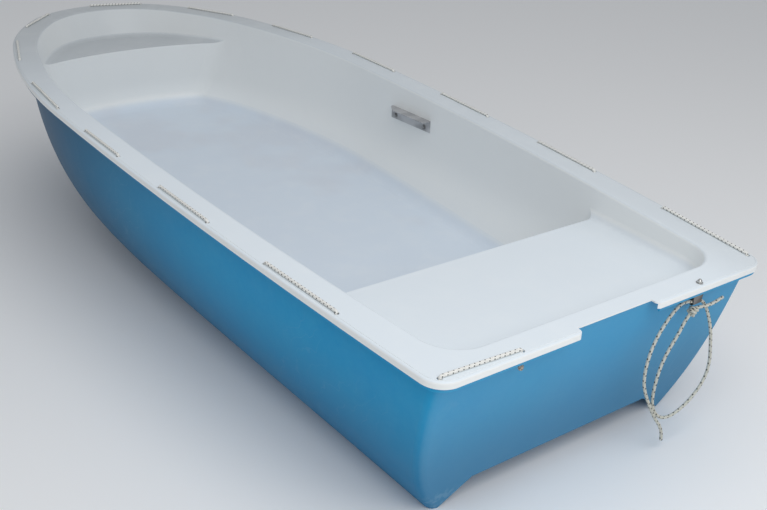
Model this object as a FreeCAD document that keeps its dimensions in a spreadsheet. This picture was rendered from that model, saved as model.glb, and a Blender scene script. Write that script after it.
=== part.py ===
import FreeCAD, Part
import math
import os
from FreeCAD import Placement, Rotation, Vector

# A three metre rowing boat of glass fibre, made of two mouldings: a blue hull with twin runners under it,
# and a white liner that forms the flange, the two seats and the floor. Millimetres, +X to the bow,
# +Y to port, +Z up. The origin is on the ground under the middle of the boat.

doc = FreeCAD.newDocument("rowing_boat")
sheet = doc.addObject("Spreadsheet::Sheet", "Sizes")

SIZES = [
    ("overall_length", 3000, "length over the flange"),
    ("half_beam", 606, "half the beam over the flange at the widest place"),
    ("stern_half_beam", 516, "half the beam over the flange at the stern"),
    ("fore_length", 1209, "from the widest place to the bow"),
    ("bow_radius", 400, "radius of the round bow in plan"),
    ("bow_turn", 49.5, "degrees that the bow arc turns on each side"),
    ("shoulder_turn", 72, "degrees turned where the shoulder ends and the side begins"),
    ("stern_corner", 56, "radius of the flange's stern corners"),
    ("sheer_stern", 446.5, "height of the flange at the stern"),
    ("sheer_middle", 531, "height of the flange amidships"),
    ("sheer_bow", 593, "height of the flange at the bow"),
    ("flange_width", 83, "width of the flange round the cockpit"),
    ("flange_overhang", 33, "from the flange's edge in to the hull's side"),
    ("flange_edge_radius", 5, "rounding of the flange's outer edge"),
    ("cove_inset", 6, "from the flange's edge in to the shallow groove along it"),
    ("cove_width", 2.5, "width of that groove"),
    ("cove_depth", 1, "depth of that groove"),
    ("inner_edge_radius", 8, "rounding between the flange and the inner walls"),
    ("liner_wall", 4, "thickness of the white laminate"),
    ("hull_wall", 5, "thickness of the blue laminate"),
    ("lip_depth", 16, "depth of the flange's turned-down lip"),
    ("hull_lip_drop", 9, "how far the hull's own lip shows below the white one"),
    ("notch_half_width", 119, "half the width of the motor notch in the stern flange"),
    ("notch_corner", 12, "radius of the notch's outer corners"),
    ("runner_half", 395, "half the breadth over the runners where they touch the ground"),
    ("stern_runner_half", 393, "the same at the stern"),
    ("stern_side_half", 494, "half the breadth of the hull at the top of the transom"),
    ("stern_wall_half", 471, "the same for the inner walls, which draw in more at the stern"),
    ("bilge_height", 450, "height over which the side curves down to the runner"),
    ("bilge_power", 2.4, "fullness of that curve amidships"),
    ("stern_bilge_power", 3.2, "fullness of that curve at the stern"),
    ("stem_rake", 0.5, "how far the stem leans forward for each unit of height"),
    ("forefoot_length", 290, "how far the forefoot is cut back at the ground"),
    ("forefoot_height", 200, "height at which the forefoot meets the straight stem"),
    ("forefoot_power", 2.4, "fullness of the forefoot's curve"),
    ("transom_rake", 0.276, "how far the transom leans aft for each unit of height"),
    ("transom_inset", 24, "from the flange's aft edge to the transom's top"),
    ("hull_corner", 24, "radius between the transom and the side"),
    ("tunnel_height", 64, "height of the flat bottom between the runners"),
    ("tunnel_half_top", 290, "half the breadth of that flat bottom"),
    ("tunnel_half_foot", 374, "half the distance between the runners at the ground"),
    ("stern_seat_height", 390, "height of the stern seat"),
    ("stern_seat_edge", 520, "from the stern to the edge of the stern seat"),
    ("bow_seat_height", 480, "height of the bow seat"),
    ("bow_seat_edge", 2630, "from the stern to the edge of the bow seat"),
    ("bow_seat_edge_radius", 1000, "radius in plan of the bow seat's curved edge"),
    ("floor_height", 130, "height of the floor at the stern seat"),
    ("floor_fore_height", 235, "height of the floor at the bow seat"),
    ("recess_corner", 100, "radius of the inside corners at the stern"),
    ("floor_fillet", 55, "radius between the walls and the floor"),
    ("bow_corner", 90, "radius between the bow bulkhead and the walls"),
    ("stern_bulkhead_corner", 30, "radius between the stern bulkhead and the walls"),
    ("seat_fillet", 25, "radius between the walls and the seats"),
    ("rope_diameter", 8, "diameter of both ropes"),
    ("rope_hole", 12, "diameter of the flange's rope holes"),
    ("rope_inset", 15, "from the flange's edge in to the rope holes"),
    ("rope_gap", 0.2, "room between a rope and what it lies on"),
    ("bracket_length", 218, "length of a seat bracket"),
    ("bracket_shelf", 35, "breadth of a bracket's shelf"),
    ("bracket_drop", 42, "height of a bracket's plate"),
    ("bracket_metal", 3, "thickness of a bracket"),
    ("bracket_height", 447, "height of a bracket's shelf"),
    ("bolt_diameter", 6, "diameter of the bolts"),
    ("bolt_head", 13, "width of a bolt's head across its corners"),
    ("bolt_head_height", 4.5, "height of a bolt's head"),
    ("nut_width", 9.4, "width of the eye's nut across its corners"),
    ("washer_diameter", 17, "diameter of the washers"),
    ("washer_thickness", 1.5, "thickness of the washers"),
    ("eye_width", 13.4, "breadth of the painter's eye along the boat"),
    ("eye_drop", 48, "how far the painter's eye hangs under the flange"),
    ("eye_metal", 1.8, "thickness of the painter's eye"),
    ("eye_top", 40, "width of the eye's top across the boat"),
    ("eye_foot", 27, "width of the eye's foot across the boat"),
    ("eye_inset", 16, "from the stern to the eye's bolt"),
    ("eye_side", 281, "from the centre plane to the eye's bolt"),
    ("knot_diameter", 25, "diameter of the painter's knot"),
    ("stopper_diameter", 13, "diameter of the knots at the grab line's ends"),
]

for row, (alias, value, meaning) in enumerate(SIZES, start=1):
    sheet.set("A%d" % row, meaning)
    sheet.set("B%d" % row, str(value))
    sheet.setAlias("B%d" % row, alias)
doc.recompute()


def size(alias):
    return float(getattr(sheet, alias))


STERN = -size("overall_length") / 2
TIP = size("overall_length") / 2
HIGH = size("sheer_bow") + 60
LOW = -80
WIDE = 900
LEVELS = [0, 20, 45, 80, 120, 170, 225, 285, 345, 405, 465, 525, 585, HIGH]
HULL = size("hull_wall")
LINER = size("liner_wall")


def make(kind, name, **values):
    """A new object with the given properties, where a text is a formula over the sheet's sizes."""
    item = doc.addObject(kind, name)
    for prop, value in values.items():
        if isinstance(value, str):
            item.setExpression(prop, value)
        else:
            setattr(item, prop, value)
    return item


def curve(name, shape):
    item = doc.addObject("Part::Feature", name)
    item.Shape = shape
    return item


def loft(name, wires, ruled=False):
    """A solid through closed lines."""
    sections = [curve("%s_line_%02d" % (name, number), wire) for number, wire in enumerate(wires)]
    return make("Part::Loft", name, Sections=sections, Solid=True, Ruled=ruled)


def slab(name, outline, along, length):
    """A flat closed line made a solid by a straight move."""
    base = curve(name + "_outline", Part.Face(outline))
    item = make("Part::Extrusion", name, Base=base, Dir=along, LengthFwd=length, Solid=True)
    item.DirMode = "Custom"
    return item


def cut(name, base, tool):
    return make("Part::Cut", name, Base=base, Tool=tool, Refine=False)


def common(name, first, second):
    return make("Part::Common", name, Base=first, Tool=second, Refine=False)


def join(name, shapes, refine=False):
    return make("Part::MultiFuse", name, Shapes=shapes, Refine=refine)


def group(name, shapes):
    return make("Part::Compound", name, Links=shapes)


def rounded(name, base, radii):
    """Fillets on the base's edges, from pairs of an edge number and a radius."""
    item = doc.addObject("Part::Fillet", name)
    item.Base = base
    item.Edges = [(number, radius, radius) for number, radius in radii]
    return item


def middle_of(edge):
    return edge.valueAt((edge.FirstParameter + edge.LastParameter) / 2)


def edges_where(shape, wanted):
    """The numbers of the edges whose middle point and curve meet a condition."""
    return [number for number, edge in enumerate(shape.Edges, start=1) if wanted(edge, middle_of(edge))]


# Plan lines


def arc(centre, radius, start, end):
    """An arc about a centre in plan, from one heading to another, in degrees."""
    def point(turn):
        angle = math.radians(turn)
        return centre + Vector(radius * math.cos(angle), radius * math.sin(angle), 0)
    return Part.Arc(point(start), point((start + end) / 2), point(end)).toShape()


def polar(length, turn):
    angle = math.radians(turn)
    return Vector(length * math.cos(angle), length * math.sin(angle), 0)


def heading(centre, point):
    return math.degrees(math.atan2(point.y - centre.y, point.x - centre.x))


def plan_wire(height, tip, half, fore, nose, aft, aft_half, corner, inset=0):
    """The closed plan line of the boat at one height, with nose, shoulders and sides as tangent arcs.

    The inset moves the whole line inwards. The corner radius is that of the moved line; with none, the sides
    run on past the stern and a straight line closes them there.
    """
    bow_turn = size("bow_turn")
    side_turn = size("shoulder_turn")
    sin_bow = math.sin(math.radians(bow_turn))
    cos_bow = math.cos(math.radians(bow_turn))
    sin_side = math.sin(math.radians(side_turn))
    cos_side = math.cos(math.radians(side_turn))
    # The shoulder and side radii follow from the breadth and the length that they have to cover.
    breadth_left = half - nose * sin_bow
    length_left = fore - nose * (1 - cos_bow)
    det = (sin_side - sin_bow) * cos_side - (1 - sin_side) * (cos_bow - cos_side)
    shoulder = (breadth_left * cos_side - (1 - sin_side) * length_left) / det
    side = ((sin_side - sin_bow) * length_left - (cos_bow - cos_side) * breadth_left) / det
    nose_centre = Vector(tip - nose, 0, height)
    shoulder_centre = nose_centre + polar(nose - shoulder, bow_turn)
    side_centre = shoulder_centre + polar(shoulder - side, side_turn)
    run = side_centre.x - aft
    narrowing = half - aft_half
    quarter = (run ** 2 + narrowing ** 2) / (2 * narrowing)
    quarter_centre = Vector(side_centre.x, half - quarter, height)
    if corner is None:
        end_x = STERN - 60
        end_y = quarter_centre.y + math.sqrt((quarter - inset) ** 2 - (end_x - quarter_centre.x) ** 2)
        quarter_turn = heading(quarter_centre, Vector(end_x, end_y, height))
    else:
        end_x = aft + inset
        corner_x = end_x + corner
        reach = quarter - inset - corner
        end_y = quarter_centre.y + math.sqrt(reach ** 2 - (corner_x - quarter_centre.x) ** 2)
        corner_centre = Vector(corner_x, end_y, height)
        quarter_turn = heading(quarter_centre, corner_centre)

    def mirrored(centre):
        return Vector(centre.x, -centre.y, centre.z)

    edges = [arc(nose_centre, nose - inset, -bow_turn, bow_turn)]
    edges.append(arc(shoulder_centre, shoulder - inset, bow_turn, side_turn))
    edges.append(arc(side_centre, side - inset, side_turn, 90))
    edges.append(arc(quarter_centre, quarter - inset, 90, quarter_turn))
    if corner is not None:
        edges.append(arc(corner_centre, corner, quarter_turn, 180))
    edges.append(Part.LineSegment(Vector(end_x, end_y, height), Vector(end_x, -end_y, height)).toShape())
    if corner is not None:
        edges.append(arc(mirrored(corner_centre), corner, 180, 360 - quarter_turn))
    edges.append(arc(mirrored(quarter_centre), quarter - inset, 360 - quarter_turn, 270))
    edges.append(arc(mirrored(side_centre), side - inset, 270, 360 - side_turn))
    edges.append(arc(mirrored(shoulder_centre), shoulder - inset, 360 - side_turn, 360 - bow_turn))
    return Part.Wire(Part.__sortEdges__(edges))


def flange_wire(height, inset):
    """The flange's outline in plan, moved inwards."""
    return plan_wire(height, TIP, size("half_beam"), size("fore_length"), size("bow_radius"),
                     STERN, size("stern_half_beam"), size("stern_corner") - inset, inset)


def transom_x(height):
    """Where the transom's outer face crosses the centre plane at one height."""
    return STERN + size("transom_inset") + size("transom_rake") * (size("sheer_stern") - height)


def waterline(height, lift=0, inset=0, corner=None, stern_half=None):
    """The hull's outline at one height above the ground, lifted and moved inwards.

    The half breadth at the top of the transom is the hull's own unless another is given.
    """
    stern_half = stern_half or size("stern_side_half")
    top_half = size("half_beam") - size("flange_overhang")
    left = max(0.0, 1 - height / size("bilge_height"))
    half = top_half - (top_half - size("runner_half")) * left ** size("bilge_power")
    aft_drop = stern_half - size("stern_runner_half")
    aft_half = stern_half - aft_drop * left ** size("stern_bilge_power")
    stem_top = TIP - size("flange_overhang")
    tip = stem_top - size("stem_rake") * (size("sheer_bow") - height)
    if height < size("forefoot_height"):
        foot = 1 - height / size("forefoot_height")
        tip = tip - size("forefoot_length") * foot ** size("forefoot_power")
    fore = size("fore_length") - size("flange_overhang")
    nose = (size("bow_radius") - size("flange_overhang")) * half / top_half
    return plan_wire(height + lift, tip, half, fore, nose, transom_x(height), aft_half, corner, inset)


# The sheer, and the solids that the mouldings are cut with


def sheer_height(x):
    """The height of the flange's top at one station, on the arc through its three heights."""
    circle = Part.Circle(Vector(STERN, 0, size("sheer_stern")), Vector(0, 0, size("sheer_middle")),
                         Vector(TIP, 0, size("sheer_bow")))
    centre = circle.Center
    side = 1 if centre.z < 0 else -1
    return centre.z + side * math.sqrt(circle.Radius ** 2 - (x - centre.x) ** 2)


def sheer_slope(x):
    return (sheer_height(x + 5) - sheer_height(x - 5)) / 10


def below_sheer(name, drop):
    """Everything above a low level and under the sheer line, lowered by drop."""
    ends = 60
    back = Vector(STERN - ends, -WIDE, sheer_height(STERN - ends) - drop)
    fore = Vector(TIP + ends, -WIDE, sheer_height(TIP + ends) - drop)
    top = Part.Arc(back, Vector(0, -WIDE, sheer_height(0) - drop), fore).toShape()
    corners = [fore, Vector(fore.x, -WIDE, LOW), Vector(back.x, -WIDE, LOW), back]
    edges = [top]
    for start, end in zip(corners, corners[1:]):
        edges.append(Part.LineSegment(start, end).toShape())
    return slab(name, Part.Wire(edges), Vector(0, 1, 0), 2 * WIDE)


def upright(name, inset):
    """The room inside the flange's outline, moved inwards, as an upright solid."""
    return slab(name, flange_wire(300, inset), Vector(0, 0, 1), HIGH - 300)


def aft_of_transom(name, shift):
    """Everything aft of the raked transom plane, moved forward by the shift."""
    lean = math.sqrt(1 + size("transom_rake") ** 2) * shift
    low = LOW - 50
    high = HIGH + 100
    outline = [Vector(transom_x(low) + lean, -WIDE, low), Vector(transom_x(high) + lean, -WIDE, high),
               Vector(STERN - 400, -WIDE, high), Vector(STERN - 400, -WIDE, low)]
    return slab(name, Part.makePolygon(outline + outline[:1]), Vector(0, 1, 0), 2 * WIDE)


def hull_block(name, lift, inset):
    """The hull's outer form, moved inwards, with its flat transom and round stern corners."""
    body = loft(name + "_loft", [waterline(level, lift, inset) for level in LEVELS])
    squared = cut(name + "_squared", body, aft_of_transom(name + "_transom", inset))
    doc.recompute()

    def at_corner(edge, middle):
        return abs(middle.x - transom_x(middle.z)) < 30 and abs(middle.y) > 300 and edge.Length > 400

    corners = edges_where(squared.Shape, at_corner)
    return rounded(name, squared, [(number, size("hull_corner") - inset) for number in corners])


def tunnel(name, grow):
    """The space between the runners, which fades out towards the bow."""
    sections = []
    low = -40
    for x, share in ((STERN - 50, 1.0), (-100, 1.0), (350, 0.75), (800, 0.05)):
        top = size("tunnel_height") * share + grow
        half_top = size("tunnel_half_top") * (0.5 + 0.5 * share) + grow
        half_foot = size("tunnel_half_foot") * (0.5 + 0.5 * share) + grow
        outline = [Vector(x, -half_foot, low), Vector(x, -half_foot, 0), Vector(x, -half_top, top),
                   Vector(x, half_top, top), Vector(x, half_foot, 0), Vector(x, half_foot, low)]
        sections.append(Part.makePolygon(outline + outline[:1]))
    return loft(name, sections, True)


def notch(name, grow, depth):
    """The gap in the stern flange where a motor's clamp goes, with round outer corners."""
    half = size("notch_half_width") + grow
    corner = size("notch_corner")
    inner = STERN + depth
    back = STERN - 40
    edges = []
    for side in (1, -1):
        start = Vector(inner, side * half, 300)
        bend = Vector(STERN + corner, side * half, 300)
        centre = Vector(STERN + corner, side * (half + corner), 300)
        end = Vector(STERN, side * (half + corner), 300)
        on_arc = centre + Vector(-corner * math.sqrt(0.5), -side * corner * math.sqrt(0.5), 0)
        far = Vector(back, side * (half + corner), 300)
        edges.append(Part.LineSegment(start, bend).toShape())
        edges.append(Part.Arc(bend, on_arc, end).toShape())
        edges.append(Part.LineSegment(end, far).toShape())
    edges.append(Part.LineSegment(Vector(inner, half, 300), Vector(inner, -half, 300)).toShape())
    far = half + corner
    edges.append(Part.LineSegment(Vector(back, far, 300), Vector(back, -far, 300)).toShape())
    return slab(name, Part.Wire(Part.__sortEdges__(edges)), Vector(0, 0, 1), 400)


# The rope holes round the flange


# Distances from the middle of the stern along the rim to the holes, and the gaps left round the bow.
PORT_HOLES = [284, 495, 802, 1069, 1325, 1572, 1822, 2049, 2272, 2548, 2827, 3067]
STARBOARD_HOLES = [520, 815, 1087, 1336, 1586, 1834, 2116, 2372, 2629, 2857, 3082, 3307]
BOW_GAPS = 5
RIM = flange_wire(0, size("rope_inset")).OrderedEdges
RIM_LENGTH = sum(edge.Length for edge in RIM)


def rim_point(distance):
    """The point on the line of holes at a distance from the bow, round by port."""
    distance = (distance + RIM[0].Length / 2) % RIM_LENGTH
    for edge in RIM:
        if distance <= edge.Length:
            return edge.valueAt(edge.getParameterByLength(distance))
        distance = distance - edge.Length
    return RIM[-1].valueAt(RIM[-1].LastParameter)


def hole_distances():
    """Where the holes lie, from the port stern hole round the bow to the starboard one."""
    half = RIM_LENGTH / 2
    port = [half - distance for distance in PORT_HOLES]
    starboard = [distance - half for distance in STARBOARD_HOLES]
    step = (starboard[-1] - port[-1]) / BOW_GAPS
    bow = [port[-1] + step * number for number in range(1, BOW_GAPS)]
    return port + bow + list(reversed(starboard))


HOLES = [rim_point(distance) for distance in hole_distances()]


def on_flange(x, y, rise=0):
    """A point over the flange's top at one place in plan."""
    return Vector(x, y, sheer_height(x) + rise)


def rope_drills():
    """The drills of all the rope holes, as one object."""
    drills = []
    for number, hole in enumerate(HOLES, start=1):
        place = Placement(on_flange(hole.x, hole.y, -40), Rotation())
        name = "rope_drill_%02d" % number
        drill = make("Part::Cylinder", name, Radius="Sizes.rope_hole / 2", Height=60, Placement=place)
        drills.append(drill)
    return group("rope_drills", drills)


def flange_frame(x, y):
    """A placement on the flange's top whose own upright axis stands square to it."""
    tilt = -math.degrees(math.atan(sheer_slope(x)))
    return Placement(on_flange(x, y), Rotation(Vector(0, 1, 0), tilt))


# The hull moulding

ROPE_DRILLS = rope_drills()
EYE_PLACE = flange_frame(STERN + size("eye_inset"), -size("eye_side"))
eye_drill = make("Part::Cylinder", "eye_drill", Radius="Sizes.bolt_diameter / 2 + 0.3", Height=60)
eye_drill.Placement = EYE_PLACE.multiply(Placement(Vector(0, 0, -30), Rotation()))
FLANGE_DRILLS = group("flange_drills", [ROPE_DRILLS, eye_drill])

outer = hull_block("outer", 0, 0)
inner = hull_block("inner", HULL, HULL)
below_top = below_sheer("below_top", 0)
below_middle = below_sheer("below_middle", LINER / 2)
below_liner = below_sheer("below_liner", LINER)
below_joint = below_sheer("below_joint", LINER + HULL / 2)
below_hull_flange = below_sheer("below_hull_flange", LINER + HULL)
below_white_lip = below_sheer("below_white_lip", size("lip_depth"))
below_blue_lip = below_sheer("below_blue_lip", size("lip_depth") + size("hull_lip_drop"))

hull_rim = common("hull_rim", upright("hull_rim_block", LINER), below_liner)
hull_rim_deep = cut("hull_rim_deep", hull_rim, below_blue_lip)
hull_rim_core = common("hull_rim_core", upright("hull_rim_core_block", LINER + HULL), below_hull_flange)
hull_cap = cut("hull_cap", hull_rim_deep, hull_rim_core)
hull_cap_drilled = cut("hull_cap_drilled", hull_cap, FLANGE_DRILLS)
hull_body = cut("hull_body", common("hull_low", outer, below_joint), tunnel("tunnel_space", 0))
hull_joined = join("hull_joined", [hull_body, hull_cap_drilled])
hull_void = cut("hull_void", inner, tunnel("tunnel_inside", HULL))
hull_open = cut("hull_open", hull_joined, hull_void)
hull_shell = cut("hull_shell", hull_open, notch("hull_notch", 0, size("transom_inset")))


# The liner moulding


def inside_walls(name, grow):
    """The space inside the boat's inner walls, which run much like the hull's sides."""
    inset = size("flange_width") - size("flange_overhang") - grow
    corner = size("recess_corner") + grow
    stern_half = size("stern_wall_half")
    return loft(name, [waterline(level, 0, inset, corner, stern_half) for level in LEVELS[2:]])


def well_plan(name, grow):
    """The plan of the foot well: straight at the stern seat, bowed forward at the bow seat."""
    back = STERN + size("stern_seat_edge") - grow
    radius = size("bow_seat_edge_radius") + grow
    centre_x = STERN + size("bow_seat_edge") - size("bow_seat_edge_radius")
    half = 700
    corner_x = centre_x + math.sqrt(radius ** 2 - half ** 2)
    corners = [Vector(corner_x, half, 80), Vector(back, half, 80), Vector(back, -half, 80),
               Vector(corner_x, -half, 80)]
    edges = [Part.Arc(corners[-1], Vector(centre_x + radius, 0, 80), corners[0]).toShape()]
    for start, end in zip(corners, corners[1:]):
        edges.append(Part.LineSegment(start, end).toShape())
    return slab(name, Part.Wire(edges), Vector(0, 0, 1), HIGH - 82)


def above_floor(name, grow):
    """Everything above the sloping floor."""
    back = STERN + size("stern_seat_edge")
    fore = STERN + size("bow_seat_edge")
    slope = (size("floor_fore_height") - size("floor_height")) / (fore - back)
    start = back - 300
    end = fore + 300
    corners = [
        Vector(start, -WIDE, size("floor_height") - 300 * slope - grow),
        Vector(end, -WIDE, size("floor_fore_height") + 300 * slope - grow),
        Vector(end, -WIDE, HIGH - 2),
        Vector(start, -WIDE, HIGH - 2),
    ]
    return slab(name, Part.makePolygon(corners + corners[:1]), Vector(0, 1, 0), 2 * WIDE)


def room_over(name, level, start, end):
    """Everything above one level between two stations."""
    place = Placement(Vector(start, -WIDE, level), Rotation())
    height = HIGH - 2 - level
    return make("Part::Box", name, Length=end - start, Width=2 * WIDE, Height=height, Placement=place)


def cockpit(name, grow):
    """The open space inside the boat: the well, and the room over both seats, with its rounded corners."""
    walls = inside_walls(name + "_walls", grow)
    well_low = common(name + "_well_low", walls, well_plan(name + "_well_plan", grow))
    well = common(name + "_well", well_low, above_floor(name + "_floor", grow))
    stern_level = size("stern_seat_height") - grow
    stern_room = room_over(name + "_stern_room", stern_level, STERN, STERN + size("stern_seat_edge") + 40)
    bow_level = size("bow_seat_height") - grow
    bow_room = room_over(name + "_bow_room", bow_level, 400, 400 + TIP)
    over_stern = common(name + "_over_stern", walls, stern_room)
    over_bow = common(name + "_over_bow", walls, bow_room)
    space = join(name + "_space", [well, over_stern, over_bow], True)
    doc.recompute()
    radii = cockpit_radii(space.Shape, grow)
    return rounded(name, space, radii)


def cockpit_radii(shape, grow):
    """The corners inside the boat that are rounded, as edge numbers with their radii."""
    back = STERN + size("stern_seat_edge") - grow
    stern_level = size("stern_seat_height") - grow
    bow_level = size("bow_seat_height") - grow
    bow_back = STERN + size("bow_seat_edge") + 10 + grow
    rise = size("floor_fore_height") - size("floor_height")
    run = size("bow_seat_edge") - size("stern_seat_edge")

    def floor_level(x):
        return size("floor_height") + rise * (x - STERN - size("stern_seat_edge")) / run - grow

    def on_floor(edge):
        spots = [edge.valueAt(p) for p in (edge.FirstParameter, edge.LastParameter)] + [middle_of(edge)]
        return all(abs(spot.z - floor_level(spot.x)) < 1.5 for spot in spots)

    radii = []
    for number, edge in enumerate(shape.Edges, start=1):
        box = edge.BoundBox
        middle = middle_of(edge)
        level = box.ZLength < 1
        upright_edge = box.ZLength > 60 and abs(middle.y) > 200
        if on_floor(edge):
            radii.append((number, size("floor_fillet") + grow))
        elif level and abs(middle.z - stern_level) < 1 and middle.x < back - 50:
            radii.append((number, size("seat_fillet") + grow))
        elif level and abs(middle.z - bow_level) < 1 and middle.x > bow_back:
            radii.append((number, size("seat_fillet") + grow))
        elif upright_edge and abs(middle.x - back) < 2 and box.ZMax < stern_level + 2:
            radii.append((number, size("stern_bulkhead_corner") + grow))
        elif upright_edge and middle.x > STERN + 2200 and box.ZMax < bow_level + 2:
            radii.append((number, size("bow_corner") + grow))
    return radii


cockpit_room = cockpit("cockpit", 0)
cockpit_back = cockpit("cockpit_back", LINER)

flange_block = common("flange_block", upright("flange_upright", 0), below_top)
flange_deep = cut("flange_deep", flange_block, below_white_lip)
doc.recompute()


def on_top_edge(edge, middle):
    return abs(middle.z - sheer_height(middle.x)) < 0.3


TOP_EDGES = edges_where(flange_deep.Shape, on_top_edge)
TOP_RADII = [(number, size("flange_edge_radius")) for number in TOP_EDGES]
flange_round = rounded("flange_round", flange_deep, TOP_RADII)
flange_core = common("flange_core", upright("flange_core_block", LINER), below_liner)
flange_plate = cut("flange_plate", flange_round, flange_core)
cove_ring = cut("cove_ring", upright("cove_outer", size("cove_inset")),
                upright("cove_inner", size("cove_inset") + size("cove_width")))
cove = cut("cove", cove_ring, below_sheer("below_cove", size("cove_depth")))
flange_tools = group("flange_tools", [cove, FLANGE_DRILLS])
flange_drilled = cut("flange_drilled", flange_plate, flange_tools)
tub_block = common("tub_block", cockpit_back, below_middle)
liner_joined = join("liner_joined", [tub_block, flange_drilled])
liner_open = cut("liner_open", liner_joined, cockpit_room)
doc.recompute()
FLANGE_OUTLINE = flange_wire(0, 0)


def on_inner_edge(edge, middle):
    """Tells the edges where the flange meets the inner walls."""
    foot = Part.Vertex(middle.x, middle.y, 0)
    far_in = edge.Length > 60 and foot.distToShape(FLANGE_OUTLINE)[0] > 50
    return far_in and on_top_edge(edge, middle)


INNER_EDGES = edges_where(liner_open.Shape, on_inner_edge)
INNER_RADII = [(number, size("inner_edge_radius")) for number in INNER_EDGES]
liner_soft = rounded("liner_soft", liner_open, INNER_RADII)


# The seat brackets and their bolts

BRACKET_START = STERN + 1327
BRACKET_BOLTS = [STERN + 1359, STERN + 1520]
BRACKET_FACE = 515.5
BOLT_LEVEL = 418.5
DRILL_RADIUS = "Sizes.bolt_diameter / 2 + 0.3"
bracket_room = inside_walls("bracket_room", -size("rope_gap"))


def bolt_drill(name, radius, x, side):
    """A drill through the wall at one bolt of a bracket."""
    item = make("Part::Cylinder", name, Radius=radius, Height=60)
    spot = Vector(x, side * (BRACKET_FACE + 40), BOLT_LEVEL)
    item.Placement = Placement(spot, Rotation(Vector(1, 0, 0), side * 90))
    return item


def bracket_parts(word, side):
    """One seat bracket with its two bolts and washers: an angle with a pointed shelf, bedded on the wall."""
    plate_deep = 8
    plate = make("Part::Box", "plate_" + word, Length="Sizes.bracket_length", Width=plate_deep,
                 Height="Sizes.bracket_drop")
    shelf_wide = size("bracket_shelf") + plate_deep - size("bracket_metal")
    shelf = make("Part::Box", "shelf_" + word, Length="Sizes.bracket_length", Width=shelf_wide,
                 Height="Sizes.bracket_metal")
    foot = size("bracket_height") - size("bracket_drop")
    low = BRACKET_FACE if side > 0 else -BRACKET_FACE - plate_deep
    plate.Placement = Placement(Vector(BRACKET_START, low, foot), Rotation())
    inboard = BRACKET_FACE + size("bracket_metal") - size("bracket_shelf")
    low = inboard if side > 0 else -BRACKET_FACE - plate_deep
    level = size("bracket_height") - size("bracket_metal")
    shelf.Placement = Placement(Vector(BRACKET_START, low, level), Rotation())
    tip_x = BRACKET_START + size("bracket_length")
    corner = [Vector(tip_x - 46, side * (inboard - 1), level - 1),
              Vector(tip_x + 1, side * (inboard - 1), level - 1),
              Vector(tip_x + 1, side * (BRACKET_FACE - 3), level - 1)]
    point = slab("shelf_point_" + word, Part.makePolygon(corner + corner[:1]), Vector(0, 0, 1), 6)
    angle = join("angle_" + word, [plate, shelf], True)
    drills = [bolt_drill("plate_drill_%s_%d" % (word, number), DRILL_RADIUS, x, side)
              for number, x in enumerate(BRACKET_BOLTS)]
    trimmed = cut("angle_cut_" + word, angle, group("angle_tools_" + word, [point] + drills))
    bedded = common("seat_bracket_" + word, trimmed, bracket_room)
    pieces = {"seat_bracket_" + word: bedded}
    for place, x in zip(("aft", "fore"), BRACKET_BOLTS):
        tag = "%s_%s" % (word, place)
        spot = Placement(Vector(x, side * BRACKET_FACE, BOLT_LEVEL), Rotation(Vector(1, 0, 0), side * 90))
        pieces["bracket_bolt_" + tag] = hex_bolt("bracket_bolt_" + tag, spot, 16)
        pieces["bracket_washer_" + tag] = washer("bracket_washer_" + tag, spot)
    return pieces


def washer(name, spot):
    """A plain washer that lies on the spot's plane."""
    disc = make("Part::Cylinder", name + "_disc", Radius="Sizes.washer_diameter / 2",
                Height="Sizes.washer_thickness")
    bore = make("Part::Cylinder", name + "_bore", Radius="Sizes.bolt_diameter / 2 + 0.2", Height=10)
    bore.Placement = Placement(Vector(0, 0, -3), Rotation())
    item = cut(name, disc, bore)
    item.Placement = spot
    return item


def hex_bolt(name, spot, length, dome=False):
    """A bolt whose hexagonal head stands on a washer over the spot, with its shank going down."""
    head = make("Part::Prism", name + "_head", Circumradius="Sizes.bolt_head / 2",
                Height="Sizes.bolt_head_height")
    head.Polygon = 6
    head.Placement = Placement(Vector(0, 0, size("washer_thickness")), Rotation())
    shank = make("Part::Cylinder", name + "_shank", Radius="Sizes.bolt_diameter / 2",
                 Height=length + size("washer_thickness") + 0.5)
    shank.Placement = Placement(Vector(0, 0, -length), Rotation())
    solids = [head, shank]
    if dome:
        cap = make("Part::Cone", name + "_cap", Radius1="Sizes.bolt_head * 0.42",
                   Radius2="Sizes.bolt_head * 0.2", Height=4)
        rise = size("washer_thickness") + size("bolt_head_height")
        cap.Placement = Placement(Vector(0, 0, rise), Rotation())
        solids.append(cap)
    item = join(name, solids, True)
    item.Placement = spot
    return item


PIECES = {}
WALL_DRILLS = [bolt_drill("wall_drill_%d_%d" % (x - STERN, side), DRILL_RADIUS, x, side)
               for x in BRACKET_BOLTS for side in (1, -1)]
liner_tools = group("liner_tools", [notch("liner_notch", 0, size("transom_inset") - 3)] + WALL_DRILLS)
deck_liner = cut("deck_liner", liner_soft, liner_tools)
PIECES["hull_shell"] = hull_shell
PIECES["deck_liner"] = deck_liner
PIECES.update(bracket_parts("port", 1))
PIECES.update(bracket_parts("starboard", -1))


# The painter's eye


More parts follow.
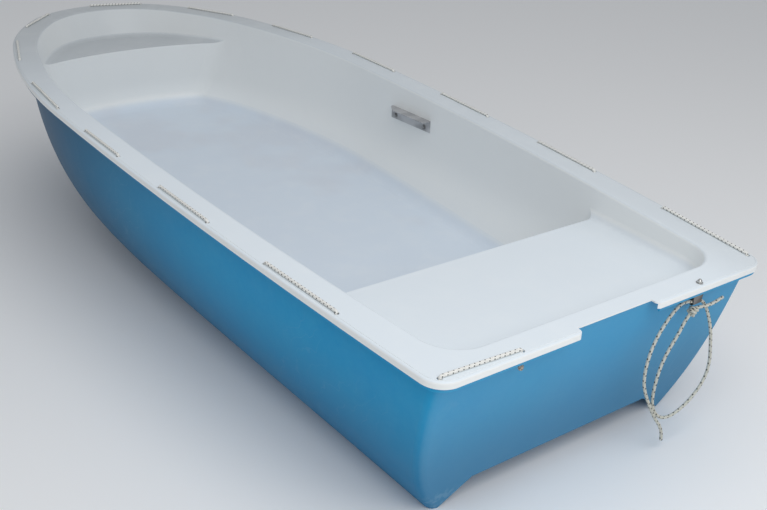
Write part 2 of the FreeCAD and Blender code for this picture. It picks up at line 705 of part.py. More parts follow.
def eye_strap():
    """The eye, a bent strap under the flange with a window that the painter goes through."""
    half = size("eye_width") / 2
    metal = size("eye_metal")
    top = -LINER - HULL
    foot = top - size("eye_drop")

    def outline(side, high, low, corner):
        points = [Vector(-side, 0, high), Vector(side, 0, high), Vector(side, 0, low + corner),
                  Vector(side - corner, 0, low), Vector(corner - side, 0, low),
                  Vector(-side, 0, low + corner)]
        return Part.makePolygon(points + points[:1])

    across = size("eye_top")
    body = slab("eye_body", outline(half, top, foot, 4), Vector(0, 1, 0), across)
    opening = outline(half - metal, top - metal, foot + metal, 3)
    window = slab("eye_window", opening, Vector(0, 1, 0), across)
    taper_points = [Vector(-half - 1, 0, top), Vector(-half - 1, across, top),
                    Vector(-half - 1, (across + size("eye_foot")) / 2, foot),
                    Vector(-half - 1, (across - size("eye_foot")) / 2, foot)]
    taper_line = Part.makePolygon(taper_points + taper_points[:1])
    taper = slab("eye_taper", taper_line, Vector(1, 0, 0), 2 * half + 2)
    open_strap = cut("eye_open", body, window)
    tapered = common("eye_tapered", open_strap, taper)
    bore = make("Part::Cylinder", "eye_bore", Radius="Sizes.bolt_diameter / 2 + 0.2", Height=12)
    bore.Placement = Placement(Vector(0, across / 2, top - 8), Rotation())
    item = cut("painter_eye", tapered, bore)
    item.Placement = EYE_PLACE.multiply(Placement(Vector(0, -across / 2, 0), Rotation()))
    return item


def eye_nut():
    level = -LINER - HULL - size("eye_metal") - size("bolt_head_height")
    nut = make("Part::Prism", "eye_nut_hex", Circumradius="Sizes.nut_width / 2",
               Height="Sizes.bolt_head_height")
    nut.Polygon = 6
    bore = make("Part::Cylinder", "eye_nut_bore", Radius="Sizes.bolt_diameter / 2", Height=20)
    bore.Placement = Placement(Vector(0, 0, -5), Rotation())
    item = cut("eye_nut", nut, bore)
    item.Placement = EYE_PLACE.multiply(Placement(Vector(0, 0, level), Rotation()))
    return item


PIECES["painter_eye"] = eye_strap()
PIECES["eye_washer"] = washer("eye_washer", EYE_PLACE)
PIECES["eye_bolt"] = hex_bolt("eye_bolt", EYE_PLACE, LINER + HULL + size("eye_metal") + 6, True)
PIECES["eye_nut"] = eye_nut()


# The grab line


def many_sided_rope(points, diameter, sides):
    """A rope of flat sides along straight runs, mitred where two runs meet."""
    runs = [(after - before).normalize() for before, after in zip(points, points[1:])]
    across = runs[0].cross(Vector(0.3, 0.5, 0.8)).normalize()
    other = runs[0].cross(across)
    ring = []
    for number in range(sides):
        turn = 2 * math.pi * number / sides
        offset = across * math.cos(turn) + other * math.sin(turn)
        ring.append(points[0] + offset * (diameter / 2))
    rings = [ring]
    for place, point in enumerate(points[1:], start=1):
        run = runs[place - 1]
        normal = run if place == len(runs) else (run + runs[place]).normalize()
        moved = [corner + run * ((point - corner).dot(normal) / run.dot(normal)) for corner in rings[-1]]
        rings.append(moved)
    faces = [Part.Face(Part.makePolygon(end + end[:1])) for end in (rings[0], rings[-1])]
    for lower, upper in zip(rings, rings[1:]):
        for number in range(sides):
            after = (number + 1) % sides
            corners = [lower[number], lower[after], upper[after], upper[number], lower[number]]
            faces.append(Part.Face(Part.makePolygon(corners)))
    shell = Part.makeShell(faces)
    shell.sewShape()
    return Part.makeSolid(shell)


ROPE = size("rope_diameter")
TOP_RISE = ROPE / 2 + size("rope_gap")
UNDER_RISE = -LINER - HULL - TOP_RISE
BEND_RADIUS = 7
BEND_LEG = BEND_RADIUS * math.tan(math.radians(22.5))


def grab_route():
    """The grab line's corners, over and under the flange from the first hole to the last."""
    spots = hole_distances()
    points = [on_flange(HOLES[0].x, HOLES[0].y, -LINER - HULL - size("rope_gap"))]
    for place, (here, there) in enumerate(zip(HOLES, HOLES[1:])):
        over = place % 2 == 0
        rise = TOP_RISE if over else UNDER_RISE
        turn = BEND_LEG - BEND_RADIUS if over else BEND_RADIUS - BEND_LEG
        middles = []
        if not over:
            gap = spots[place + 1] - spots[place]
            middles = [rim_point(spots[place] + gap * share) for share in (0.2, 0.4, 0.6, 0.8)]
        first = middles[0] if middles else there
        last = middles[-1] if middles else here
        along = Vector(first.x - here.x, first.y - here.y, 0).normalize() * (BEND_RADIUS - BEND_LEG)
        back = Vector(last.x - there.x, last.y - there.y, 0).normalize() * (BEND_RADIUS - BEND_LEG)
        points.append(on_flange(here.x, here.y, rise + turn))
        points.append(on_flange(here.x + along.x, here.y + along.y, rise))
        points.extend(on_flange(spot.x, spot.y, rise) for spot in middles)
        points.append(on_flange(there.x + back.x, there.y + back.y, rise))
        points.append(on_flange(there.x, there.y, rise + turn))
    points.append(on_flange(HOLES[-1].x, HOLES[-1].y, -LINER - HULL - size("rope_gap")))
    return points


def knot_lump(name, diameter, spot):
    """A knot, as a lump turned about its own upright axis, with flat top and foot."""
    top = diameter / 2
    wide = top / math.cos(math.radians(22.5)) * math.sin(math.radians(22.5))
    profile = [Vector(0, 0, -top), Vector(wide, 0, -top), Vector(top, 0, -wide), Vector(top, 0, wide),
               Vector(wide, 0, top), Vector(0, 0, top)]
    base = curve(name + "_profile", Part.Face(Part.makePolygon(profile + profile[:1])))
    item = make("Part::Revolution", name, Source=base, Axis=Vector(0, 0, 1), Base=Vector(0, 0, 0), Angle=360,
                Solid=True)
    item.Placement = spot
    return item


def below(spot, drop, aside=0):
    """A placement straight under a flange placement."""
    return spot.multiply(Placement(Vector(0, aside, -drop), Rotation()))


PIECES["grab_line"] = curve("grab_line", many_sided_rope(grab_route(), ROPE, 8))
STOPPER_DROP = LINER + HULL + size("rope_gap") + size("stopper_diameter") / 2
for word, hole in (("port", HOLES[0]), ("starboard", HOLES[-1])):
    spot = Placement(on_flange(hole.x, hole.y, -STOPPER_DROP), Rotation())
    PIECES["grab_knot_" + word] = knot_lump("grab_knot_" + word, size("stopper_diameter"), spot)


# The painter, which hangs free from its eye


def rod_path(points, radii):
    """Straight runs through the points, with a tangent arc of the given radius at each one."""
    edges = []
    start = points[0]
    for before, point, after, radius in zip(points, points[1:], points[2:], radii):
        back = (before - point).normalize()
        ahead = (after - point).normalize()
        half_turn = (math.pi - back.getAngle(ahead)) / 2
        leg = radius * math.tan(half_turn)
        enter = point + back * leg
        leave = point + ahead * leg
        middle_way = (back + ahead).normalize()
        top = point + middle_way * (radius / math.cos(half_turn) - radius)
        edges.append(Part.LineSegment(start, enter).toShape())
        edges.append(Part.Arc(enter, top, leave).toShape())
        start = leave
    edges.append(Part.LineSegment(start, points[-1]).toShape())
    return Part.Wire(edges)


def cord(name, route):
    """A limp rope's tube, each bend as large as its two runs allow."""
    radii = []
    for before, point, after in zip(route, route[1:], route[2:]):
        shorter = min((point - before).Length, (after - point).Length)
        half = (point - before).getAngle(after - point) / 2
        radii.append(0.45 * shorter / math.tan(half))
    path = rod_path(route, radii)
    run = path.Edges[0]
    start = run.FirstParameter
    ring = Part.makeCircle(ROPE / 2, run.valueAt(start), run.tangentAt(start))
    solid = path.makePipeShell([Part.Wire([ring])], True, False)
    section = math.pi * ROPE ** 2 / 4
    print(name, "radii", [round(radius) for radius in radii], "length", round(path.Length),
          "volume share", round(solid.Volume / (section * path.Length), 4))
    return curve(name, solid)


def from_stern(points):
    return [Vector(STERN + x, y, z) for x, y, z in points]


EYE_FOOT = LINER + HULL + size("eye_drop")
IN_EYE = EYE_PLACE.multVec(Vector(0, 0, size("eye_metal") + TOP_RISE - EYE_FOOT))
KNOT_PLACE = below(EYE_PLACE, EYE_FOOT + size("rope_gap") + size("knot_diameter") / 2, -5)
KNOT = KNOT_PLACE.Base
FALL = [IN_EYE] + from_stern([
    (20, -252, 406), (19, -226, 405), (18, -199, 389), (17, -172, 363), (16, -150, 334), (16, -136, 300),
    (16, -129, 262), (16, -131, 222), (16, -145, 186), (16, -167, 147), (15, -190, 107), (16, -216, 75),
    (16, -232, 46), (16, -233, 24)])
LOOP = [IN_EYE] + from_stern([
    (22, -305, 394), (23, -325, 378), (22, -343, 350), (21, -358, 317), (21, -371, 281), (21, -379, 242),
    (21, -387, 202), (21, -384, 164), (21, -367, 134), (21, -337, 108), (21, -302, 90), (21, -264, 81),
    (21, -228, 87), (21, -199, 110), (21, -181, 143), (21, -179, 182), (21, -185, 222), (21, -197, 260),
    (21, -219, 295), (21, -243, 324), (22, -261, 355)]) + [KNOT]
STUB = [KNOT] + from_stern([(12, -313, 378), (10, -346, 379), (10, -376, 386)])
PIECES["painter_knot"] = knot_lump("painter_knot", size("knot_diameter"), KNOT_PLACE)
PIECES["painter_fall"] = cord("painter_fall", FALL)
PIECES["painter_loop"] = cut("painter_loop", cord("painter_loop_tube", LOOP), PIECES["painter_knot"])
PIECES["painter_stub"] = cut("painter_stub", cord("painter_stub_tube", STUB), PIECES["painter_knot"])

doc.recompute()
for name, piece in PIECES.items():
    piece.Label = name

faults = []
for item in doc.Objects:
    if "Invalid" in item.State or "Error" in item.State:
        faults.append("%s %s" % (item.Name, item.State))
for name, piece in PIECES.items():
    if piece.Shape.isNull() or not piece.Shape.isValid() or len(piece.Shape.Solids) != 1:
        faults.append("%s has a bad shape" % name)
    else:
        print(name, len(piece.Shape.Faces), "faces", round(piece.Shape.Volume / 1e6, 3), "litres")
if faults:
    raise RuntimeError("; ".join(faults))

os.makedirs("parts", exist_ok=True)
for name, piece in PIECES.items():
    piece.Shape.exportStep("parts/%s.step" % name)
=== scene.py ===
"""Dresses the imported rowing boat: gelcoat on its two mouldings, braided rope, and plain metal fittings."""
import logging
import math
from dataclasses import dataclass
from enum import Enum
from typing import Dict, Iterable, List, Optional, Sequence, Tuple

import bmesh
import bpy
from mathutils import Matrix, Quaternion, Vector


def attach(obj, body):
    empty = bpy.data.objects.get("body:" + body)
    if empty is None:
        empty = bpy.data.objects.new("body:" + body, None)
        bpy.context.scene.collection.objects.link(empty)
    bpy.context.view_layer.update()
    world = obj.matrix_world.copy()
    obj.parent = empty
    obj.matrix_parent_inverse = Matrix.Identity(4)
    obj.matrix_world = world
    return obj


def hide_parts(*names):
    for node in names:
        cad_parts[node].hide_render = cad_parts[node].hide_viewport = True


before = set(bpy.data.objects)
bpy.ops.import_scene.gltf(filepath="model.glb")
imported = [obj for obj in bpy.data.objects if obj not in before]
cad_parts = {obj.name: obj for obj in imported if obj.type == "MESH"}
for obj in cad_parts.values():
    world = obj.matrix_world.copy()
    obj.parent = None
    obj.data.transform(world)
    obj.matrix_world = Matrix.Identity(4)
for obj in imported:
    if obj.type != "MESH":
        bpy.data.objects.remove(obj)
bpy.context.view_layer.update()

LOG = logging.getLogger("rowing_boat")
MM = 0.001
Colour = Tuple[float, float, float, float]
Point = Tuple[float, float, float]


class Slot(Enum):
    """The record's material slots."""

    HULL = "hull_gelcoat"
    LINER = "liner_gelcoat"
    GRAB_ROPE = "grab_rope"
    PAINTER_ROPE = "painter_rope"
    STEEL = "fitting_steel"
    BRACKET = "bracket_metal"


def srgb(red: int, green: int, blue: int) -> Colour:
    """Turns a colour given in 0 to 255 display steps into linear light.

    Args:
        red: The red step.
        green: The green step.
        blue: The blue step.

    Returns:
        The colour in linear light, opaque.
    """
    shares = [step / 255 for step in (red, green, blue)]
    linear = [share / 12.92 if share <= 0.04045 else ((share + 0.055) / 1.055) ** 2.4 for share in shares]
    return (*linear, 1.0)


def new_object(name: str, data: bpy.types.ID) -> bpy.types.Object:
    """Puts a new object in the scene.

    Args:
        name: The object's name.
        data: Its mesh, curve, light or camera.

    Returns:
        The object.
    """
    item = bpy.data.objects.new(name, data)
    bpy.context.scene.collection.objects.link(item)
    return item


def new_mesh(name: str, bm: bmesh.types.BMesh) -> bpy.types.Mesh:
    """Turns a bmesh into a mesh and frees it.

    Args:
        name: The mesh's name.
        bm: The bmesh.

    Returns:
        The mesh.
    """
    mesh = bpy.data.meshes.new(name)
    bm.to_mesh(mesh)
    bm.free()
    return mesh


class NodeSheet:
    """A node tree with short calls for the nodes that the finishes share."""

    def __init__(self, tree: bpy.types.NodeTree) -> None:
        """Starts on an empty tree.

        Args:
            tree: The material's tree or a node group.
        """
        self.tree = tree
        self.column = 0

    def add(self, kind: str, **values: object) -> bpy.types.Node:
        """Adds one node and sets its properties.

        Args:
            kind: The node's type name.
            values: Properties of the node.

        Returns:
            The new node.
        """
        node = self.tree.nodes.new(kind)
        self.column += 1
        node.location = (self.column * 190 - 1900, (self.column % 5) * -170)
        for name, value in values.items():
            setattr(node, name, value)
        return node

    def link(self, source: bpy.types.NodeSocket, target: bpy.types.NodeSocket) -> None:
        """Joins two sockets."""
        self.tree.links.new(source, target)

    def feed(self, target: bpy.types.NodeSocket, value: object) -> None:
        """Gives an input a link or a plain value.

        Args:
            target: The input's socket.
            value: A socket or a value.
        """
        if isinstance(value, bpy.types.NodeSocket):
            self.link(value, target)
        else:
            target.default_value = value

    def maths(self, operation: str, first: object, second: object = 0.0,
              clamp: bool = False) -> bpy.types.NodeSocket:
        """One Math node.

        Args:
            operation: The node's operation.
            first: Its first input, a socket or a number.
            second: Its second input.
            clamp: Whether the result is held between 0 and 1.

        Returns:
            The result's socket.
        """
        node = self.add("ShaderNodeMath", operation=operation, use_clamp=clamp)
        for target, value in zip(node.inputs, (first, second)):
            self.feed(target, value)
        return node.outputs[0]

    def noise(self, vector: object, scale: object, detail: float = 3.0, roughness: float = 0.5,
              stretch: Point = (1.0, 1.0, 1.0)) -> bpy.types.NodeSocket:
        """A noise value between about 0.3 and 0.7 over the given coordinates.

        Args:
            vector: The coordinates' socket.
            scale: Spots to the metre, a socket or a number.
            detail: Octaves.
            roughness: How strong the small octaves are.
            stretch: A factor on each axis.

        Returns:
            The value's socket.
        """
        mapping = self.add("ShaderNodeMapping")
        self.feed(mapping.inputs["Vector"], vector)
        mapping.inputs["Scale"].default_value = stretch
        node = self.add("ShaderNodeTexNoise")
        self.link(mapping.outputs[0], node.inputs["Vector"])
        self.feed(node.inputs["Scale"], scale)
        node.inputs["Detail"].default_value = detail
        node.inputs["Roughness"].default_value = roughness
        return node.outputs["Fac"]

    def ramp(self, value: bpy.types.NodeSocket, low: float, high: float,
             start: float = 0.0, end: float = 1.0) -> bpy.types.NodeSocket:
        """Spreads a band of values smoothly over another band.

        Args:
            value: The value's socket.
            low: The value that gives start.
            high: The value that gives end.
            start: The result at low.
            end: The result at high.

        Returns:
            The result's socket.
        """
        node = self.add("ShaderNodeMapRange", interpolation_type="SMOOTHSTEP")
        self.link(value, node.inputs["Value"])
        node.inputs["From Min"].default_value = low
        node.inputs["From Max"].default_value = high
        node.inputs["To Min"].default_value = start
        node.inputs["To Max"].default_value = end
        return node.outputs["Result"]

    def mix(self, factor: object, first: object, second: object) -> bpy.types.NodeSocket:
        """Mixes two colours.

        Args:
            factor: How much of the second colour, a socket or a number.
            first: The first colour, a socket or a value.
            second: The second colour.

        Returns:
            The colour's socket.
        """
        node = self.add("ShaderNodeMix", data_type="RGBA")
        self.feed(node.inputs["Factor"], factor)
        self.feed(node.inputs[6], first)
        self.feed(node.inputs[7], second)
        return node.outputs[2]

    def object_coordinates(self) -> bpy.types.NodeSocket:
        """The point's place on the piece, in metres."""
        return self.add("ShaderNodeTexCoord").outputs["Object"]

    def split(self, vector: Optional[bpy.types.NodeSocket] = None) -> bpy.types.NodeOutputs:
        """Takes a vector apart.

        Args:
            vector: The vector's socket, or None for the surface's normal.

        Returns:
            The sockets of its X, Y and Z, by name.
        """
        if vector is None:
            vector = self.add("ShaderNodeNewGeometry").outputs["Normal"]
        node = self.add("ShaderNodeSeparateXYZ")
        self.link(vector, node.inputs[0])
        return node.outputs

    def times(self, first: object, second: object, clamp: bool = False) -> bpy.types.NodeSocket:
        """The product of two values."""
        return self.maths("MULTIPLY", first, second, clamp=clamp)

    def rest_of(self, value: object) -> bpy.types.NodeSocket:
        """What a share leaves of 1."""
        return self.maths("SUBTRACT", 1.0, value)


def new_group(name: str, inputs: Sequence[Tuple[str, str, object]],
              outputs: Sequence[Tuple[str, str]]) -> Tuple[NodeSheet, bpy.types.Node, bpy.types.Node]:
    """Starts a shader node group with named sockets.

    Args:
        name: The group's name.
        inputs: Name, socket type and default of each input.
        outputs: Name and socket type of each output.

    Returns:
        The group's sheet, its input node and its output node.
    """
    group = bpy.data.node_groups.new(name, "ShaderNodeTree")
    for label, kind, default in inputs:
        socket = group.interface.new_socket(name=label, in_out="INPUT", socket_type=kind)
        if default is not None:
            socket.default_value = default
    for label, kind in outputs:
        group.interface.new_socket(name=label, in_out="OUTPUT", socket_type=kind)
    sheet = NodeSheet(group)
    return sheet, sheet.add("NodeGroupInput"), sheet.add("NodeGroupOutput")


class GroupShelf:
    """The effects that more than one finish uses, each a node group that is built once."""

    def __init__(self) -> None:
        """Starts with no groups."""
        self.made: Dict[str, bpy.types.NodeTree] = {}

    def place(self, sheet: NodeSheet, name: str, **values: object) -> bpy.types.Node:
        """Puts a group into a material with its own values.

        Args:
            sheet: The material's sheet.
            name: Which effect, the name of a build method.
            values: Inputs by name, with underscores for spaces.

        Returns:
            The group's node in the material.
        """
        if name not in self.made:
            self.made[name] = getattr(self, "build_" + name)()
        node = sheet.add("ShaderNodeGroup", node_tree=self.made[name])
        for label, value in values.items():
            sheet.feed(node.inputs[label.replace("_", " ").capitalize()], value)
        return node

    def build_laminate_skin(self) -> bpy.types.NodeTree:
        """The skin of a sprayed moulding: slow waves, orange peel and a faint mottle of its colour.

        Returns:
            The group.
        """
        sheet, given, out = new_group(
            "laminate_skin",
            [("Vector", "NodeSocketVector", None), ("Waves", "NodeSocketFloat", 0.3),
             ("Peel", "NodeSocketFloat", 0.3), ("Mottle", "NodeSocketFloat", 0.1)],
            [("Height", "NodeSocketFloat"), ("Mottle", "NodeSocketFloat")])
        vector = given.outputs["Vector"]
        waves = sheet.times(sheet.noise(vector, scale=5.0, detail=1.0), given.outputs["Waves"])
        peel = sheet.times(sheet.noise(vector, scale=420.0, detail=2.0), given.outputs["Peel"])
        sheet.link(sheet.maths("ADD", waves, peel), out.inputs["Height"])
        broad = sheet.noise(vector, scale=3.2, detail=4.0, roughness=0.55)
        fine = sheet.noise(vector, scale=60.0, roughness=0.6)
        both = sheet.maths("ADD", sheet.times(broad, 0.65), sheet.times(fine, 0.35))
        swing = sheet.times(sheet.maths("SUBTRACT", both, 0.5), given.outputs["Mottle"])
        sheet.link(swing, out.inputs["Mottle"])
        return sheet.tree

    def build_dust(self) -> bpy.types.NodeTree:
        """Dry dust that lies in patches and gathers on faces that look up.

        Returns:
            The group.
        """
        sheet, given, out = new_group(
            "dust",
            [("Vector", "NodeSocketVector", None), ("Amount", "NodeSocketFloat", 0.3),
             ("Scale", "NodeSocketFloat", 6.0)],
            [("Mask", "NodeSocketFloat")])
        noise = sheet.noise(given.outputs["Vector"], given.outputs["Scale"], detail=6.0, roughness=0.62)
        patches = sheet.ramp(noise, 0.42, 0.72)
        upward = sheet.ramp(sheet.split()["Z"], 0.1, 0.95, start=0.35)
        mask = sheet.times(patches, upward)
        sheet.link(sheet.times(mask, given.outputs["Amount"], clamp=True), out.inputs["Mask"])
        return sheet.tree

    def build_scratches(self) -> bpy.types.NodeTree:
        """Fine hairline scratches that run mostly one way.

        Returns:
            The group.
        """
        sheet, given, out = new_group(
            "scratches",
            [("Vector", "NodeSocketVector", None), ("Amount", "NodeSocketFloat", 0.3)],
            [("Mask", "NodeSocketFloat")])
        warp = sheet.noise(given.outputs["Vector"], scale=3.0, detail=2.0)
        wave = sheet.add("ShaderNodeTexWave", wave_type="BANDS", bands_direction="DIAGONAL")
        sheet.link(given.outputs["Vector"], wave.inputs["Vector"])
        wave.inputs["Scale"].default_value = 9.0
        wave.inputs["Distortion"].default_value = 14.0
        wave.inputs["Detail"].default_value = 3.0
        line = sheet.ramp(wave.outputs["Fac"], 0.985, 1.0)
        where = sheet.ramp(warp, 0.55, 0.66)
        mask = sheet.times(line, where)
        sheet.link(sheet.times(mask, given.outputs["Amount"], clamp=True), out.inputs["Mask"])
        return sheet.tree

    def build_smudge(self) -> bpy.types.NodeTree:
        """A soft-edged rub mark of broken colour round one place.

        Returns:
            The group.
        """
        sheet, given, out = new_group(
            "smudge",
            [("Vector", "NodeSocketVector", None), ("Centre", "NodeSocketVector", (0.0, 0.0, 0.0)),
             ("Size", "NodeSocketVector", (0.1, 0.1, 0.1)), ("Broken", "NodeSocketFloat", 60.0)],
            [("Mask", "NodeSocketFloat")])
        offset = sheet.add("ShaderNodeVectorMath", operation="SUBTRACT")
        sheet.link(given.outputs["Vector"], offset.inputs[0])
        sheet.link(given.outputs["Centre"], offset.inputs[1])
        scaled = sheet.add("ShaderNodeVectorMath", operation="DIVIDE")
        sheet.link(offset.outputs[0], scaled.inputs[0])
        sheet.link(given.outputs["Size"], scaled.inputs[1])
        length = sheet.add("ShaderNodeVectorMath", operation="LENGTH")
        sheet.link(scaled.outputs[0], length.inputs[0])
        near = sheet.ramp(length.outputs["Value"], 0.35, 1.0, 1.0, 0.0)
        noise = sheet.noise(given.outputs["Vector"], given.outputs["Broken"], detail=5.0)
        broken = sheet.ramp(noise, 0.44, 0.6)
        sheet.link(sheet.times(near, broken, clamp=True), out.inputs["Mask"])
        return sheet.tree


SHELF = GroupShelf()


@dataclass(frozen=True)
class Finish:
    """What every finish has: its name and how it answers light."""

    name: str
    roughness: float = 0.4
    metallic: float = 0.0
    specular: float = 0.5

    def start(self) -> Tuple[bpy.types.Material, NodeSheet, bpy.types.Node]:
        """A new material with its shader set up.

        Returns:
            The material, its sheet and its Principled node.
        """
        material = bpy.data.materials.new(self.name)
        material.use_nodes = True
        sheet = NodeSheet(material.node_tree)
        shader = material.node_tree.nodes["Principled BSDF"]
        shader.inputs["Roughness"].default_value = self.roughness
        shader.inputs["Metallic"].default_value = self.metallic
        shader.inputs["Specular IOR Level"].default_value = self.specular
        return material, sheet, shader

    def bump(self, sheet: NodeSheet, shader: bpy.types.Node, height: bpy.types.NodeSocket,
             strength: float, distance: float) -> None:
        """Gives the shader a Bump node.

        Args:
            sheet: The material's sheet.
            shader: The Principled node.
            height: The height's socket.
            strength: The bump's strength.
            distance: The height in metres that a value of 1 stands for.
        """
        node = sheet.add("ShaderNodeBump")
        node.inputs["Strength"].default_value = strength
        node.inputs["Distance"].default_value = distance
        sheet.link(height, node.inputs["Height"])
        sheet.link(node.outputs["Normal"], shader.inputs["Normal"])


@dataclass(frozen=True)
class HullGelcoat(Finish):
    """Blue gelcoat with painted shade low down and forward, painted light that pales its faces that point
    aft, and rubbed in places.

    The low band is of heights, the fore band of distances forward and the aft band of the normal's X. An
    effect changes from one value of its band to the other.
    """

    blue: Colour = srgb(8, 150, 205)
    faded: Colour = srgb(50, 168, 210)
    chalk_and_aft_light: Colour = srgb(168, 198, 214)
    painted_low_shade: Colour = srgb(5, 112, 158)
    shade: Colour = srgb(0, 78, 114)
    low_band: Tuple[float, float] = (0.08, 0.42)
    low_share: float = 0.85
    fore_band: Tuple[float, float] = (-0.9, 0.7)
    aft_band: Tuple[float, float] = (-0.93, -0.55)
    aft_painted_light: float = 0.13
    fade: float = 0.16
    dust_roughness: float = 0.5
    marks: Tuple[Tuple[Point, Point, float], ...] = ()

    def build(self) -> bpy.types.Material:
        """Makes the material.

        Returns:
            The material.
        """
        material, sheet, shader = self.start()
        place = sheet.object_coordinates()
        skin = SHELF.place(sheet, "laminate_skin", vector=place, waves=1.0, peel=0.02, mottle=1.3)
        fade = sheet.maths("ADD", skin.outputs["Mottle"], self.fade, clamp=True)
        colour = sheet.mix(fade, self.blue, self.faded)
        where = sheet.split(place)
        # Painted shade: the blue darkens low down on the hull.
        low = sheet.ramp(where["Z"], *self.low_band, start=self.low_share, end=0.0)
        colour = sheet.mix(low, colour, self.painted_low_shade)
        # Painted shade: the blue darkens towards the bow.
        fore = sheet.ramp(where["X"], *self.fore_band)
        colour = sheet.mix(fore, colour, self.shade)
        # Painted light: faces that point aft are paled towards a chalky blue, which the dust, scratches and
        # rub marks below also use.
        aft = sheet.ramp(sheet.split()["X"], *self.aft_band, start=self.aft_painted_light, end=0.0)
        colour = sheet.mix(aft, colour, self.chalk_and_aft_light)
        dust = SHELF.place(sheet, "dust", vector=place, amount=0.1, scale=5.0)
        colour = sheet.mix(dust.outputs["Mask"], colour, self.chalk_and_aft_light)
        lines = SHELF.place(sheet, "scratches", vector=place, amount=0.06)
        colour = sheet.mix(lines.outputs["Mask"], colour, self.chalk_and_aft_light)
        for centre, reach, strength in self.marks:
            mark = SHELF.place(sheet, "smudge", vector=place, centre=centre, size=reach, broken=70.0)
            colour = sheet.mix(sheet.times(mark.outputs["Mask"], strength), colour, self.chalk_and_aft_light)
        sheet.link(colour, shader.inputs["Base Color"])
        rough = sheet.maths("ADD", sheet.times(dust.outputs["Mask"], self.dust_roughness), self.roughness)
        sheet.link(rough, shader.inputs["Roughness"])
        self.bump(sheet, shader, skin.outputs["Height"], strength=0.35, distance=0.004)
        return material


@dataclass(frozen=True)
class LinerGelcoat(Finish):
    """Off-white gelcoat with painted light that makes its walls lighter and warmer, painted shade that makes
    its floor bluer and its upper faces greyer to the bow and to starboard, and stains on the floor.

    The wall band is of the normal's Z, the low, fore and starboard bands are of places, and the stain band is
    of the noise. An effect changes from one value of its band to the other.
    """

    white: Colour = srgb(228, 236, 242)
    wall_light_and_dust: Colour = srgb(243, 245, 244)
    floor_shade_and_mottle: Colour = srgb(212, 223, 235)
    stain: Colour = srgb(196, 180, 178)
    painted_shade_grey: Colour = srgb(190, 195, 198)
    wall_band: Tuple[float, float] = (0.25, 0.8)
    low_band: Tuple[float, float] = (0.24, 0.36)
    fore_band: Tuple[float, float] = (-0.2, 1.45)
    starboard_band: Tuple[float, float] = (-0.53, -0.3)
    starboard_shade_share: float = 0.4
    wall_unshaded_share: float = 0.65
    floor_shade_share: float = 0.8
    stain_band: Tuple[float, float] = (0.53, 0.68)
    stain_strength: float = 0.12
    mottle_share: float = 0.5
    dust_roughness: float = 0.8

    def build(self) -> bpy.types.Material:
        """Makes the material.

        Returns:
            The material.
        """
        material, sheet, shader = self.start()
        place = sheet.object_coordinates()
        skin = SHELF.place(sheet, "laminate_skin", vector=place, waves=0.6, peel=0.03, mottle=0.5)
        where = sheet.split(place)
        # Painted light: the walls take a lighter, warmer white; the dust below uses the same colour.
        wall = sheet.ramp(sheet.split()["Z"], *self.wall_band, start=1.0, end=0.0)
        low = sheet.ramp(where["Z"], *self.low_band, start=1.0, end=0.0)
        colour = sheet.mix(wall, self.white, self.wall_light_and_dust)
        # Painted shade: the floor takes a bluer tint; the random mottle below uses the same colour.
        floor = sheet.times(low, sheet.rest_of(wall))
        colour = sheet.mix(sheet.times(floor, self.floor_shade_share), colour, self.floor_shade_and_mottle)
        # Painted shade: the upper faces turn greyer towards the bow and to starboard.
        fore = sheet.ramp(where["X"], *self.fore_band)
        starboard = sheet.ramp(where["Y"], *self.starboard_band, start=self.starboard_shade_share, end=0.0)
        upper_faces = sheet.times(sheet.rest_of(sheet.times(wall, self.wall_unshaded_share)), sheet.rest_of(low))
        bow_and_starboard_shade = sheet.times(sheet.maths("MAXIMUM", fore, starboard), upper_faces)
        colour = sheet.mix(bow_and_starboard_shade, colour, self.painted_shade_grey)
        blotches = sheet.ramp(sheet.noise(place, scale=2.3), *self.stain_band)
        stains = sheet.times(sheet.times(blotches, floor), self.stain_strength)
        colour = sheet.mix(stains, colour, self.stain)
        shade = sheet.times(skin.outputs["Mottle"], self.mottle_share, clamp=True)
        colour = sheet.mix(shade, colour, self.floor_shade_and_mottle)
        dust = SHELF.place(sheet, "dust", vector=place, amount=0.12, scale=11.0)
        colour = sheet.mix(dust.outputs["Mask"], colour, self.wall_light_and_dust)
        sheet.link(colour, shader.inputs["Base Color"])
        rough = sheet.maths("ADD", sheet.times(dust.outputs["Mask"], self.dust_roughness), self.roughness)
        sheet.link(rough, shader.inputs["Roughness"])
        self.bump(sheet, shader, skin.outputs["Height"], strength=0.3, distance=0.003)
        return material


